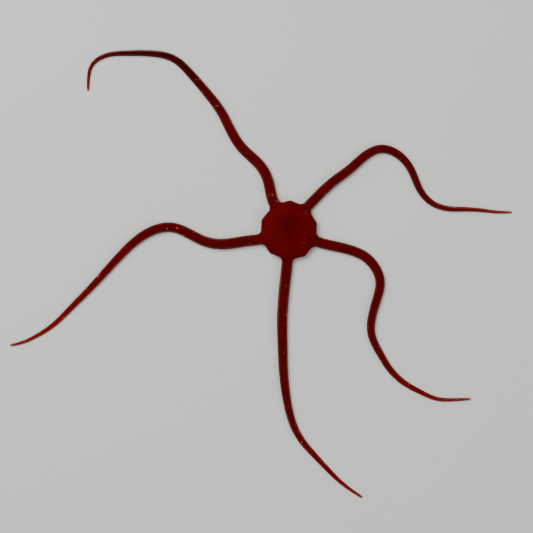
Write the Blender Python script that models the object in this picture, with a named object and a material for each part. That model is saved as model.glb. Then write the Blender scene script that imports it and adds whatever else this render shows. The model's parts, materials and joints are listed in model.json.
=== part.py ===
"""A serpent brittle star, life size, resting on its underside with its five arms spread.

Named sizes are in millimetres and the meshes are in metres, with +Z up. The model stands on Z = 0, and the
origin lies under the middle of the whole spread. Every arm is swept along a smooth course through points
placed by hand, and its plates, side spines and tip all follow from that course and a few sizes.
"""

import math
import random

import bmesh
import bpy
import numpy as np
from mathutils import Vector

MM = 0.001
UP = Vector((0.0, 0.0, 1.0))
GAP = 0.3  # between neighbouring nodes

# The disc, seen from above and from the side
DISC_MIDDLE = (15.1, 23.8)  # from the middle of the whole spread
DISC_RADIUS = 15.7
LOBE = 0.3  # how far the margin bulges between the arms
LOBE_REACHES = (0.0, -0.4, 0.4, -0.3, -0.6)  # what each bulge has more or less, from the first arm clockwise
WAIST = 0.2  # a finer swelling on either side of each arm
NOTCH = 1.0  # how far the margin is drawn in over each arm
NOTCH_TURN = 7.5  # degrees on either side of the arm
SHOULDER = 1.7  # how far the margin runs out along both sides of each arm
SHOULDER_TURN = 9.0
SHOULDER_SPREAD = 4.5
DISC_TOP = 7.2
DISC_RIM = 3.5  # height of the widest line of the margin
DISC_FLOOR = 0.6  # the soft skin between the arms stays this far off the ground
CENTRE_SINK = 0.9
SINK_SPREAD = 0.34  # share of the radius
SHIELD_SWELL = 0.35  # the hidden plate on either side of each arm
SHIELD_PLACE = 0.74
SHIELD_TURN = 14.0
DISC_SECTORS = 60
DISC_SHARES_ABOVE = (0.24, 0.46, 0.66, 0.82, 0.94)
DISC_SHARES_BELOW = (0.95, 0.8, 0.36)

# The arms
ARM_COUNT = 5
FIRST_ARM_TURN = 122.7  # degrees from +X, and the others follow clockwise
ARM_STEP = -360.0 / ARM_COUNT
ARM_WIDTH = 5.5
ARM_SHARES = (1.02, 0.95, 0.98, 1.04, 1.02)  # each arm's width over that
TIP_SHARE = 0.22  # the tip's width over the base's
TAPER_POWER = 1.65
ARM_FLATNESS = 0.72  # height over width
ROOT_REACH = 17.1  # from the disc's middle to where the free arm starts
ROOT_START = 4.4
ROOT_WIDTH_INSIDE = 4.4
ROOT_PLATES = 4
ARM_PLATES = 44
SHORTENING = 0.35  # how much longer than the mean the first plates are
PLATE_LIFT = 0.28  # a plate's outer lip over the next plate's start
LENGTHS = ("inner", "middle", "outer", "tip")
TIP_LENGTH = 1.3  # the blunt end past the last lip
TIP_ROUND = 0.4

# An arm's cross-section, as shares of half its width and of its height
SECTION = ((0.62, 0.0), (0.97, 0.25), (0.9, 0.68), (0.43, 1.0))

# Where each arm's middle line runs, from the disc's middle, placed by eye on the photograph
COURSES = (
    (
        (-7.2, 12.8), (-9.35, 18.85), (-10.9, 26.2), (-15.5, 35.5), (-24.3, 44.0), (-31.1, 53.7),
        (-37.0, 65.1), (-44.9, 75.7), (-54.2, 86.5), (-63.5, 94.5), (-75.0, 97.2), (-89.3, 97.4), (-101.3, 95.8),
        (-108.1, 90.6), (-109.9, 83.8), (-110.1, 76.7),
    ),
    (
        (8.95, 11.15), (14.45, 17.15), (23.6, 25.9), (34.3, 34.1), (42.2, 41.0), (50.9, 44.7), (59.7, 42.0),
        (67.6, 32.8), (72.3, 22.2), (78.3, 15.4), (86.7, 12.1), (96.0, 11.6), (104.8, 11.2), (113.6, 10.2),
        (123.0, 9.9),
    ),
    (
        (15.2, -6.1), (24.0, -8.4), (33.2, -10.6), (41.3, -14.0), (47.6, -20.4), (50.3, -28.4), (48.7, -37.2),
        (46.2, -46.1), (45.4, -56.0), (49.9, -66.9), (56.5, -77.2), (64.1, -84.1), (72.9, -89.0),
        (81.7, -92.6), (91.1, -93.1), (100.4, -92.7),
    ),
    (
        (-0.7, -16.8), (-1.6, -25.6), (-2.8, -37.2), (-3.5, -49.3), (-3.3, -61.9), (-2.8, -76.8),
        (-1.3, -90.5), (1.4, -103.2), (6.0, -113.5), (13.1, -122.3), (21.3, -131.1), (29.9, -139.3),
        (40.7, -146.9),
    ),
    (
        (-15.0, -4.6), (-22.8, -5.8), (-33.8, -7.4), (-44.3, -6.5), (-54.6, -1.8), (-64.1, 1.7), (-72.7, 0.6),
        (-81.0, -3.6), (-90.2, -11.5), (-100.0, -22.1), (-109.5, -32.4), (-119.9, -42.9), (-129.4, -52.0),
        (-138.7, -58.1), (-146.4, -61.6), (-153.1, -63.2),
    ),
)
ROOT_POINTS = (4.0, 9.0)  # distances from the middle where an arm keeps its even share of the circle
COURSE_SAMPLES = 500

# The side spines, short and lying forward along the arm. Sizes are those at the arm's base
SPINE_SHARE = 0.74  # whole length over its plate's
SPINE_START = 0.1  # along the plate
SPINE_FLARE = 25.0  # degrees out from the arm
SPINE_HEIGHT = 0.44  # share of the arm's height
SPINE_SUNK = 0.5
SPINE_THICKNESS = 1.05  # at the root, inside the plate
LEAST_THICKNESS = 0.6
SPINE_VARIATION = 0.12
SPINE_SEED = 40

# The mouth, seen from below: a pentagon with its corners under the arms
MOUTH_RADIUS = 6.0
MOUTH_DEPTH = 3.0
THROAT_RADIUS = 2.1
THROAT_DEPTH = 4.4
THROAT_SIDES = 10
SLIT_WIDTH = 1.3
JAW_FLOOR = 0.25
JAW_TIP = 1.4
JAW_BEVEL = 0.35
PAPILLAE_PER_SIDE = 3
PAPILLA_LENGTH = 1.0
PAPILLA_SUNK = 0.58
PAPILLA_THICKNESS = 0.7
PAPILLA_END = 0.55  # thickness of the blunt end over the root's
TOOTH_HEIGHTS = (0.95, 1.9)
SHIELD_CENTRE = 7.1
SHIELD_LENGTH = 3.0
SHIELD_WIDTH = 3.0
SHIELD_DROP = 0.35  # an oral shield stands this far below the skin round it
SHIELD_OUTLINE = ((-0.5, 0.0), (-0.16, 0.38), (0.2, 0.5), (0.46, 0.32), (0.5, 0.0))
SLIT_PLACES = (9.5, 12.9)  # the slots beside each arm's root, two on each side
SLIT_LENGTH = 2.4
SLIT_THICKNESS = 0.6
SLIT_DEPTH = 0.9
SLIT_OFFSET = 3.6
SLIT_OUTLINE = ((-0.5, 0.0), (-0.3, 0.5), (0.3, 0.5), (0.5, 0.0), (0.3, -0.5), (-0.3, -0.5))

DISC_RED = (0.105, 0.0035, 0.003, 1.0)
ARM_RED = (0.125, 0.004, 0.0035, 1.0)
JAW_PALE = (0.42, 0.16, 0.09, 1.0)
SKIN_ROUGHNESS = 0.55


def clear_scene():
    for obj in list(bpy.data.objects):
        bpy.data.objects.remove(obj)


def new_material(name, colour):
    material = bpy.data.materials.new(name)
    material.use_nodes = True
    shader = material.node_tree.nodes["Principled BSDF"]
    shader.inputs["Base Color"].default_value = colour
    shader.inputs["Roughness"].default_value = SKIN_ROUGHNESS
    shader.inputs["Metallic"].default_value = 0.0
    return material


def direction(turn):
    """The flat unit vector at that turn, in degrees from +X."""
    return Vector((math.cos(math.radians(turn)), math.sin(math.radians(turn)), 0.0))


def arm_turn(index):
    return FIRST_ARM_TURN + ARM_STEP * index


def between_turn(index):
    """The middle of the space between one arm and the next."""
    return arm_turn(index) + ARM_STEP / 2


def object_from(bm, name):
    """A new object from a mesh built in millimetres, with its faces turned outwards."""
    bmesh.ops.scale(bm, verts=bm.verts, vec=(MM, MM, MM))
    bmesh.ops.recalc_face_normals(bm, faces=bm.faces)
    mesh = bpy.data.meshes.new(name)
    bm.to_mesh(mesh)
    bm.free()
    obj = bpy.data.objects.new(name, mesh)
    bpy.context.scene.collection.objects.link(obj)
    return obj


def loft(rings, name):
    """A closed body through rings of points. A ring of one point closes an end, and others are capped."""
    bm = bmesh.new()
    made = [[bm.verts.new(point) for point in ring] for ring in rings]
    for lower, upper in zip(made, made[1:]):
        sides = max(len(lower), len(upper))
        for i in range(sides):
            j = (i + 1) % sides
            below = [lower[i % len(lower)], lower[j % len(lower)]]
            above = [upper[j % len(upper)], upper[i % len(upper)]]
            bm.faces.new(list(dict.fromkeys(below + above)))
    for end in (made[0], made[-1]):
        if len(end) > 2:
            bm.faces.new(end)
    return object_from(bm, name)


def apply_boolean(obj, pieces, operation):
    """Joins the pieces to the object, or cuts them from it, in one step, and removes them."""
    group = bpy.data.collections.new("pieces")
    for piece in pieces:
        group.objects.link(piece)
    modifier = obj.modifiers.new(operation.lower(), "BOOLEAN")
    modifier.operation = operation
    modifier.operand_type = "COLLECTION"
    modifier.collection = group
    modifier.solver = "EXACT"
    graph = bpy.context.evaluated_depsgraph_get()
    result = bpy.data.meshes.new_from_object(obj.evaluated_get(graph))
    obj.modifiers.clear()
    obj.data = result
    for piece in pieces:
        bpy.data.objects.remove(piece)
    bpy.data.collections.remove(group)


def keep_largest_surface(obj):
    """Drops every loose scrap and sealed hollow that a Boolean may leave."""
    bm = bmesh.new()
    bm.from_mesh(obj.data)
    left = set(bm.verts)
    groups = []
    while left:
        waiting = [left.pop()]
        group = []
        while waiting:
            vert = waiting.pop()
            group.append(vert)
            near = [edge.other_vert(vert) for edge in vert.link_edges]
            fresh = [other for other in near if other in left]
            left.difference_update(fresh)
            waiting.extend(fresh)
        groups.append(group)
    largest = max(groups, key=len)
    for group in groups:
        if group is not largest:
            bmesh.ops.delete(bm, geom=group, context="VERTS")
    bm.to_mesh(obj.data)
    bm.free()


def spline_through(points, samples):
    """Points along a natural cubic spline through the given flat points."""
    p = np.array(points, float)
    knots = np.concatenate([[0.0], np.cumsum(np.linalg.norm(np.diff(p, axis=0), axis=1))])
    step = np.diff(knots)
    system = np.eye(len(p))
    wanted = np.zeros_like(p)
    for i in range(1, len(p) - 1):
        system[i, i - 1 : i + 2] = step[i - 1], 2 * (step[i - 1] + step[i]), step[i]
        wanted[i] = 6 * ((p[i + 1] - p[i]) / step[i] - (p[i] - p[i - 1]) / step[i - 1])
    bend = np.linalg.solve(system, wanted)
    at = np.linspace(0.0, knots[-1], samples)
    i = np.clip(np.searchsorted(knots, at, side="right") - 1, 0, len(p) - 2)
    width = step[i][:, None]
    before = (knots[i + 1] - at)[:, None]
    after = (at - knots[i])[:, None]
    curved = (bend[i] * before**3 + bend[i + 1] * after**3) / (6 * width)
    straight = (p[i] / width - bend[i] * width / 6) * before
    return curved + straight + (p[i + 1] / width - bend[i + 1] * width / 6) * after


class Arm:
    """One arm's middle line from under the disc to its tip, measured from where the free arm starts."""

    def __init__(self, index):
        turns = [direction(arm_turn(index)) * reach for reach in ROOT_POINTS]
        hidden = [(point.x, point.y) for point in turns]
        self.line = spline_through([*hidden, *COURSES[index]], COURSE_SAMPLES)
        steps = np.linalg.norm(np.diff(self.line, axis=0), axis=1)
        run = np.concatenate([[0.0], np.cumsum(steps)])
        near = slice(0, COURSE_SAMPLES // 4)  # here the distance from the disc's middle only grows
        reach = np.linalg.norm(self.line[near], axis=1)
        self.stations = run - np.interp(ROOT_REACH, reach, run[near])
        self.root = float(np.interp(ROOT_START, reach, self.stations[near]))
        self.length = float(self.stations[-1])
        self.base_width = ARM_WIDTH * ARM_SHARES[index]
        crossing = self.point(float(np.interp(DISC_RADIUS, reach, self.stations[near])))
        self.crossing_turn = math.degrees(math.atan2(crossing.y, crossing.x))

    def point(self, station):
        x, y = (float(np.interp(station, self.stations, self.line[:, axis])) for axis in (0, 1))
        return Vector((x, y, 0.0))

    def forward(self, station):
        reach = 0.6
        low = max(self.stations[0], station - reach)
        high = min(self.length, station + reach)
        return (self.point(high) - self.point(low)).normalized()

    def width(self, station):
        share = min(max(station / self.length, 0.0), 1.0)
        return self.base_width * (1 - (1 - TIP_SHARE) * share**TAPER_POWER)

    def plate_start(self, plate):
        share = plate / ARM_PLATES
        return self.length * share * (1 + SHORTENING - SHORTENING * share)

    def ring(self, station, width, lift=0.0, floor=0.0):
        """The cross-section there, flat below. It is drawn in by lift all round, apart from its floor."""
        middle = self.point(station)
        forward = self.forward(station)
        right = Vector((forward.y, -forward.x, 0.0))
        half = width / 2 - lift
        height = width * ARM_FLATNESS - lift
        right_side = [(half * out, floor + (height - floor) * up) for out, up in SECTION]
        left_side = [(-out, up) for out, up in reversed(right_side)]
        return [middle + right * out + Vector((0, 0, up)) for out, up in right_side + left_side]


ARMS = [Arm(index) for index in range(ARM_COUNT)]


def peg(root, axis, length, thickness, end_share, name):
    """A closed peg of four sides. It narrows to a point, or to a blunt end of that share of its thickness."""
    side = axis.cross(UP).normalized()
    top = side.cross(axis).normalized()
    corners = ((1, 1), (-1, 1), (-1, -1), (1, -1))
    half = thickness / 2
    end = root + axis * length
    rings = [[root + (side * a + top * b) * half for a, b in corners]]
    rings.append([end + (side * a + top * b) * half * end_share for a, b in corners] if end_share else [end])
    return loft(rings, name)


def arm_spines(arm, first, last, dice):
    """One spine on each side of every plate from first up to last."""
    spines = []
    for plate in range(first, last):
        start = arm.plate_start(plate)
        length = arm.plate_start(plate + 1) - start
        station = start + length * SPINE_START
        width = arm.width(station)
        scale = max(width / ARM_WIDTH, LEAST_THICKNESS / SPINE_THICKNESS)
        forward = arm.forward(station)
        right = Vector((forward.y, -forward.x, 0.0))
        for side in (1, -1):
            vary = dice.uniform(1 - SPINE_VARIATION, 1 + SPINE_VARIATION)
            flare = math.radians(SPINE_FLARE * vary)
            outward = right * side
            root = arm.point(station) + outward * (width / 2 - SPINE_SUNK * scale)
            root.z = width * ARM_FLATNESS * SPINE_HEIGHT
            axis = forward * math.cos(flare) + outward * math.sin(flare)
            spines.append(peg(root, axis, length * SPINE_SHARE / vary, SPINE_THICKNESS * scale, 0.0, "spine"))
    return spines


def build_arm(index, material, root):
    """The free arm as four lengths, each with its plates' raised lips and its side spines."""
    arm = ARMS[index]
    dice = random.Random(SPINE_SEED + index)
    per_length = ARM_PLATES // len(LENGTHS)
    for number, label in enumerate(LENGTHS):
        first = number * per_length
        last = first + per_length
        rings = []
        for plate in range(first, last):
            start = arm.plate_start(plate)
            lip = arm.plate_start(plate + 1) - (TIP_LENGTH if plate + 1 == ARM_PLATES else GAP)
            rings.append(arm.ring(start, arm.width(start), lift=PLATE_LIFT * arm.width(start) / ARM_WIDTH))
            rings.append(arm.ring(lip, arm.width(lip)))
        if last == ARM_PLATES:
            end_width = arm.width(arm.length)
            rings.append(arm.ring(arm.length, end_width * TIP_ROUND, floor=end_width * (1 - TIP_ROUND) / 4))
        obj = loft(rings, f"arm_{index + 1}_{label}")
        apply_boolean(obj, arm_spines(arm, first, last, dice), "UNION")
        keep_largest_surface(obj)
        finish(obj, material, root)


def margin_radius(turn):
    """The disc's outline: it bulges between the arms, and is drawn in over each, between two shoulders."""
    from_between = math.radians(turn - between_turn(0)) * ARM_COUNT
    radius = DISC_RADIUS + LOBE * math.cos(from_between) + WAIST * math.cos(2 * from_between)
    for index, reach in enumerate(LOBE_REACHES):
        away = (turn - between_turn(index) + 180) % 360 - 180
        if abs(away) < -ARM_STEP:
            radius += reach * (1 + math.cos(math.pi * away / ARM_STEP)) / 2
        from_arm = abs((turn - ARMS[index].crossing_turn + 180) % 360 - 180)
        radius += SHOULDER * math.exp(-(((from_arm - SHOULDER_TURN) / SHOULDER_SPREAD) ** 2))
        radius -= NOTCH * math.exp(-((from_arm / NOTCH_TURN) ** 2))
    return radius


def top_height(share, turn):
    """The height of the disc's upper face, at a share of the radius."""
    dome = DISC_RIM + (DISC_TOP - DISC_RIM) * math.sqrt(max(1 - share**3.4, 0.0))
    sink = CENTRE_SINK * math.exp(-((share / SINK_SPREAD) ** 2))
    swell = 0.0
    for index in range(ARM_COUNT):
        for side in (-1, 1):
            away = math.radians((turn - arm_turn(index) - side * SHIELD_TURN + 180) % 360 - 180)
            along = (share - SHIELD_PLACE) / 0.16
            swell += SHIELD_SWELL * math.exp(-((away / 0.16) ** 2) - along**2)
    return dome - sink + swell


def floor_height(share):
    return DISC_FLOOR + (DISC_RIM - DISC_FLOOR) * (1 - math.sqrt(max(1 - share**6, 0.0)))


def disc_ring(share, height_of):
    ring = []
    for sector in range(DISC_SECTORS):
        turn = arm_turn(0) + 360.0 * sector / DISC_SECTORS
        point = direction(turn) * margin_radius(turn) * share
        point.z = height_of(turn)
        ring.append(point)
    return ring


def disc_body():
    rings = [[Vector((0, 0, DISC_FLOOR))]]
    for share in reversed(DISC_SHARES_BELOW):
        rings.append(disc_ring(share, lambda turn, share=share: floor_height(share)))
    rings.append(disc_ring(1.0, lambda turn: DISC_RIM))
    for share in reversed(DISC_SHARES_ABOVE):
        rings.append(disc_ring(share, lambda turn, share=share: top_height(share, turn)))
    rings.append([Vector((0, 0, top_height(0.0, 0.0)))])
    return loft(rings, "disc")


def arm_root(index):
    """The part of an arm under the disc, from the mouth's edge out to just past the margin."""
    arm = ARMS[index]
    span = -arm.root
    rings = []
    for plate in range(ROOT_PLATES):
        start = arm.root + span * plate / ROOT_PLATES
        lip = arm.root + span * (plate + 1) / ROOT_PLATES - GAP
        for station, lift in ((start, PLATE_LIFT), (lip, 0.0)):
            inside = -station / span
            width = arm.base_width + (ROOT_WIDTH_INSIDE - arm.base_width) * inside
            rings.append(arm.ring(station, width, lift=lift))
    return loft(rings, "arm_root")


def oral_shield(index):
    """The kite-shaped plate between two arms, just outside the mouth, a little below the skin."""
    along = direction(between_turn(index))
    across = Vector((-along.y, along.x, 0.0))
    outline = SHIELD_OUTLINE + tuple((x, -y) for x, y in reversed(SHIELD_OUTLINE[1:-1]))
    rings = []
    for height, share in ((DISC_FLOOR - SHIELD_DROP, 0.8), (DISC_FLOOR - 0.1, 1.0), (DISC_FLOOR + 0.6, 1.0)):
        long, wide = SHIELD_LENGTH * share, SHIELD_WIDTH * share
        flat = [along * (SHIELD_CENTRE + x * long) + across * y * wide for x, y in outline]
        rings.append([point + UP * height for point in flat])
    return loft(rings, "oral_shield")


def mouth_cutter(radius, depth, sides):
    """An upright prism under the middle of the disc, with a corner on each arm's line."""
    ring = [direction(arm_turn(0) + 360 * i / sides) * radius for i in range(sides)]
    return loft([[point + UP * height for point in ring] for height in (-1.0, depth)], "mouth")


def skin_slot(index, side, reach):
    """A slot beside an arm's root, cut into the skin under the disc."""
    along = direction(arm_turn(index))
    across = Vector((-along.y, along.x, 0.0)) * side
    middle = along * reach + across * SLIT_OFFSET
    top = floor_height(middle.length / DISC_RADIUS) + SLIT_DEPTH
    rings = []
    for height in (-0.4, top):
        flat = [middle + along * x * SLIT_LENGTH + across * y * SLIT_THICKNESS for x, y in SLIT_OUTLINE]
        rings.append([point + UP * height for point in flat])
    return loft(rings, "skin_slot")


def build_disc(material, root):
    disc = disc_body()
    shapes = [arm_root(index) for index in range(ARM_COUNT)]
    shapes += [oral_shield(index) for index in range(ARM_COUNT)]
    apply_boolean(disc, shapes, "UNION")
    keep_largest_surface(disc)
    cutters = [mouth_cutter(MOUTH_RADIUS, MOUTH_DEPTH, ARM_COUNT)]
    cutters.append(mouth_cutter(THROAT_RADIUS, THROAT_DEPTH, THROAT_SIDES))
    for index in range(ARM_COUNT):
        for side in (-1, 1):
            cutters += [skin_slot(index, side, reach) for reach in SLIT_PLACES]
    apply_boolean(disc, cutters, "DIFFERENCE")
    keep_largest_surface(disc)
    finish(disc, material, root)


def jaw_outline(inset):
    """Half a jaw from below, tip to the mouth's wall, as distances along its own line and out from it."""
    lean = math.radians(-ARM_STEP / 2)
    crossing = (SLIT_WIDTH / 2 + inset) / math.sin(lean)
    back = MOUTH_RADIUS * math.cos(lean) - GAP - inset
    tip = JAW_TIP + inset / math.sin(lean)
    return [(x, (x - crossing) * math.tan(lean)) for x in (tip, back)]


def jaw_ring(index, height, inset):
    along = direction(between_turn(index))
    across = Vector((-along.y, along.x, 0.0))
    half = jaw_outline(inset)
    outline = half + [(x, -y) for x, y in reversed(half)]
    return [along * x + across * y + UP * height for x, y in outline]


def jaw_pegs(index):
    """The blunt papillae along both sides of a jaw and the teeth at its tip."""
    along = direction(between_turn(index))
    across = Vector((-along.y, along.x, 0.0))
    lean = math.radians(-ARM_STEP / 2)
    pegs = []
    (tip_x, tip_y), (back_x, back_y) = jaw_outline(0.0)
    for side in (-1, 1):
        facing = (-along * math.sin(lean) + across * side * math.cos(lean)).normalized()
        for number in range(PAPILLAE_PER_SIDE):
            share = (number + 0.75) / (PAPILLAE_PER_SIDE + 0.4)
            edge_x = tip_x + (back_x - tip_x) * share
            edge_y = tip_y + (back_y - tip_y) * share
            edge = along * edge_x + across * side * edge_y
            root = edge - facing * PAPILLA_SUNK + UP * (JAW_FLOOR + JAW_BEVEL * 1.7)
            pegs.append(peg(root, facing, PAPILLA_LENGTH, PAPILLA_THICKNESS, PAPILLA_END, "papilla"))
    for height in TOOTH_HEIGHTS:
        root = along * (JAW_TIP + PAPILLA_SUNK) + UP * height
        pegs.append(peg(root, -along, PAPILLA_LENGTH, PAPILLA_THICKNESS, PAPILLA_END, "tooth"))
    return pegs


def build_jaw(index, material, root):
    top = MOUTH_DEPTH - GAP
    levels = ((JAW_FLOOR, JAW_BEVEL), (JAW_FLOOR + JAW_BEVEL, 0.0), (top, 0.0))
    rings = [jaw_ring(index, height, inset) for height, inset in levels]
    jaw = loft(rings, f"jaw_{index + 1}")
    apply_boolean(jaw, jaw_pegs(index), "UNION")
    keep_largest_surface(jaw)
    finish(jaw, material, root)


def finish(obj, material, root):
    """Gives a node its material and shading, and places it with the rest."""
    obj.data.materials.clear()
    obj.data.materials.append(material)
    obj.data.shade_smooth()
    obj.data.set_sharp_from_angle(angle=math.radians(38))
    obj.parent = root


def main():
    clear_scene()
    root = bpy.data.objects.new("brittle_star", None)
    root.location = (DISC_MIDDLE[0] * MM, DISC_MIDDLE[1] * MM, 0.0)
    bpy.context.scene.collection.objects.link(root)
    disc_skin = new_material("disc_skin", DISC_RED)
    arm_skin = new_material("arm_skin", ARM_RED)
    jaw_plate = new_material("jaw_plate", JAW_PALE)
    build_disc(disc_skin, root)
    for index in range(ARM_COUNT):
        build_jaw(index, jaw_plate, root)
        build_arm(index, arm_skin, root)


main()
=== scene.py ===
"""The looks of a serpent brittle star: skin, plates, spines, granules and mouth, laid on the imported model.

Sizes are in millimetres from the middle of the disc, unless a name says otherwise, and the finished meshes
are in metres in the frame's own place. Stations run along an arm from where it leaves the disc, and girth
runs round it, from 0 on its back to 1 (right) or -1 (left) under its belly.
"""

import json
import math

import bmesh
import bpy
import numpy as np
from bpy.props import FloatProperty, FloatVectorProperty, IntProperty, PointerProperty
from bpy.types import Operator, Panel, PropertyGroup
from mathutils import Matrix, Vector

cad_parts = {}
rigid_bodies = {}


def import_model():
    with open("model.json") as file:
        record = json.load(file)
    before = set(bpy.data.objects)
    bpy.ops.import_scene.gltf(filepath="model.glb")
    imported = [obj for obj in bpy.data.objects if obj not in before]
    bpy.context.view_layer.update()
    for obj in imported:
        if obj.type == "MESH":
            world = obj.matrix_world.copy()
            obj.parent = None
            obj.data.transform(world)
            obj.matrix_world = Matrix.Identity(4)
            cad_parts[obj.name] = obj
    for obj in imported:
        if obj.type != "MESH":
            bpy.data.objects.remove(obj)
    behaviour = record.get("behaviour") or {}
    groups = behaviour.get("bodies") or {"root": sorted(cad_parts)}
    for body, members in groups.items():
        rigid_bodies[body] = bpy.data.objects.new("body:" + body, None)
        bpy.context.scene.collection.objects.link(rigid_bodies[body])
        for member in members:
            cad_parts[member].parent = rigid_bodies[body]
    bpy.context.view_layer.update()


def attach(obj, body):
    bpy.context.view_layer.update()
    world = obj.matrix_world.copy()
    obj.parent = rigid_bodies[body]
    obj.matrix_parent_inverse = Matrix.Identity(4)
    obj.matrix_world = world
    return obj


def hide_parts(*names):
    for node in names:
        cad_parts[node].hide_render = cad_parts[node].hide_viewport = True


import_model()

bl_info = {
    "name": "Brittle star",
    "version": (1, 0, 0),
    "blender": (4, 5, 0),
    "location": "3D View > Sidebar > Brittle star",
    "description": "Builds a life-size serpent brittle star round its solid frame",
    "category": "Add Mesh",
}

MM = 0.001

# The disc
DISC_MIDDLE = (15.1, 23.8)  # from the middle of the whole spread
DISC_RADIUS = 15.7
LOBE = 0.3  # how far the disc bulges between the arms
LOBE_REACHES = (0.0, -0.4, 0.4, -0.3, -0.6)  # what each bulge has more or less, clockwise from arm 1
WAIST = 0.2
SCALLOP = 0.12
NOTCH = 1.0  # how far its edge is drawn in over each arm
NOTCH_TURN = 7.5  # degrees
SHOULDER = 1.7  # how far it stands out on both sides of that
SHOULDER_TURN = 9.0
SHOULDER_SPREAD = 4.5
DISC_TOP = 7.2
DISC_RIM = 3.5
DISC_FLOOR = 0.6
TOP_POWER = 3.4
FLOOR_POWER = 6.0
CENTRE_SINK = 0.9  # how deep the middle of its top is sunken
SINK_SPREAD = 0.34
SHIELD_SWELL = 0.16  # the two low swellings of the disc over each arm's base
SHIELD_PLACE = 0.74
SHIELD_TURN = 14.0
SHIELD_SPREAD = 0.16
EDGE_ONLY = 5.0  # how closely the lobes keep to the disc's edge
# The unevenness of its skin: the length of its waves, their seed and their depth
UNEVENNESS = ((3.4, 5, 0.04), (1.5, 6, 0.02))
UNEVENNESS_BELOW = 0.5
RIM_FADE = 0.08  # how far from the rim the relief is full, as a share of the profile
GRANULE_SHIFT = 0.08  # how far granules stray from their even whirls
GRANULE_FLATNESS = 0.35  # what they lose of their height
GRANULE_SIZES = (0.78, 1.15)
GRANULE_SINK = 0.03
BARE_ARM_BED = 2.5  # no granules this far from an arm's middle line, below
BARE_ROUND_SLOTS = 1.15
BARE_ROUND_SHIELDS = 1.6
GOLDEN_TURN = 180 * (3 - math.sqrt(5))  # degrees

# The arms
ARM_COUNT = 5
FIRST_ARM_TURN = 122.7  # degrees from +X, and the others follow clockwise
ARM_STEP = -360.0 / ARM_COUNT
ARM_WIDTH = 5.5
ARM_SHARES = (1.02, 0.95, 0.98, 1.04, 1.02)  # each arm's width over that
TIP_SHARE = 0.22
TAPER_POWER = 1.65
POINT_LENGTH = 7.0  # the last stretch of an arm, which narrows to a point
POINT_SHARE = 0.12  # what the point loses of the width
ARM_FLATNESS = 0.72
ROOT_REACH = 17.1  # from the disc's middle to where the stations start
ROOT_START = 4.4  # and to where the arm has its inner width
ROOT_WIDTH_INSIDE = 4.4
ROOT_JOINTS = 9
ROOT_SWELL = 0.8  # how much higher an arm stands where it leaves the disc
ROOT_SWELL_PLACE = -2.6
ROOT_SWELL_SPREAD = 2.0
SHORTENING = 0.1  # how much shorter the joints become towards the tip, and longer at the base
BACK_ROUNDNESS = 2.3
BELLY_ROUNDNESS = 3.4
WAIST_HEIGHT = 0.42  # where an arm is widest, as a share of its height
BELLY_CLEARANCE = 0.14  # from the floor to the flesh, for the belly plates
BACK_EDGE = 0.35  # girth where the small scales of the back give way to the side plates
SPINE_EDGE = 0.77  # girth of the lowest spines
SIDE_EDGE = 0.83  # girth where the side plates give way to the belly plates
SIDE_OVERLAP = 0.07  # what the side plates reach under their neighbours
SCALE_PLACE = 0.55  # where on its row a scale lies
SCALE_LENGTH = 1.38  # over its row's
SCALE_WIDTH = 1.16  # over its share of the back
SMALLEST_SCALE = 0.45  # height of the lowest scales over that of those at the base
SCALES_TAPER = 0.55  # power by which a narrower arm has fewer scales across
ROW_FLECKS = (0.76, 0.2)  # brightness of a joint's last and its first row of scales
FLECK_SPREAD = 0.2
SCALE_STRAY = (0.07, 0.06)  # how far scales stray along the arm and round it, as shares of their size
SCALE_SIZES = (0.9, 1.12)
SCALE_HEIGHTS = (0.8, 1.2)
SCALE_TILTS = (0.05, 0.13)
SCALE_TURN = 0.16
SCALE_SINK = 0.05
# How far ahead on its joint each plate lies, its length over the joint's, its height, how deep it is sunk
# and how much it tilts
SIDE_PLATE = {"ahead": 0.06, "long": 1.1, "thick": 0.3, "sink": 0.1}
BELLY_PLATE = {"ahead": 0.04, "long": 1.08, "thick": 0.2, "sink": 0.03, "tilt": 0.05}
BELLY_PLATE_WIDTH = 0.98  # over the room between the side plates
PLATE_FLECKS = (0.25, 0.75)
# The two small scales beside each belly plate: girth past the side's edge, width, place ahead and length
FOOT_SCALES = ((0.005, 0.5, 0.12, 0.62), (0.05, 0.42, 0.2, 0.5))
FOOT_SCALE = {"thick": 0.26, "sink": 0.05, "tilt": 0.1}
FOOT_SCALE_TURN = 0.3
TIP_LENGTH = 1.3
BEAD_LENGTH = 0.75  # the topmost spine of each fan is a short wide bead
BEAD_WIDTH = 1.0
BEAD_INSET = 0.52  # how far a bead lies inside the arm's edge, seen from above
BEAD_TAPER = 0.35  # what of its width doesn't shrink with the arm's
BEAD_FLATNESS = 0.5  # thickness over width
FAINT_BEAD_WIDTH = 0.7  # width of a bead outside the palest row over that of one in it
SPINE_FLATNESS = 0.62
FAN_PLACE = 0.82  # where on its joint a fan of spines stands
FAN_INSET = 0.005  # girth by which its ends lie inside the edges of the side plates
SPINE_LIFT = 0.04
SPINE_STRAY = 0.004  # in girth
UPPER_SPINE = 0.72  # length of the uppermost spines over that of the lowest
SPINE_LENGTHS = (0.86, 1.1)
SPINE_WIDTHS = (0.9, 1.08)
SPINE_OVERLAP = 1.08
SPINE_ROOT = 0.12  # what of a spine lies in the arm
FLARE_SPREAD = 0.16
SPINE_FLECKS = (0.3, 1.0)

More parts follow.
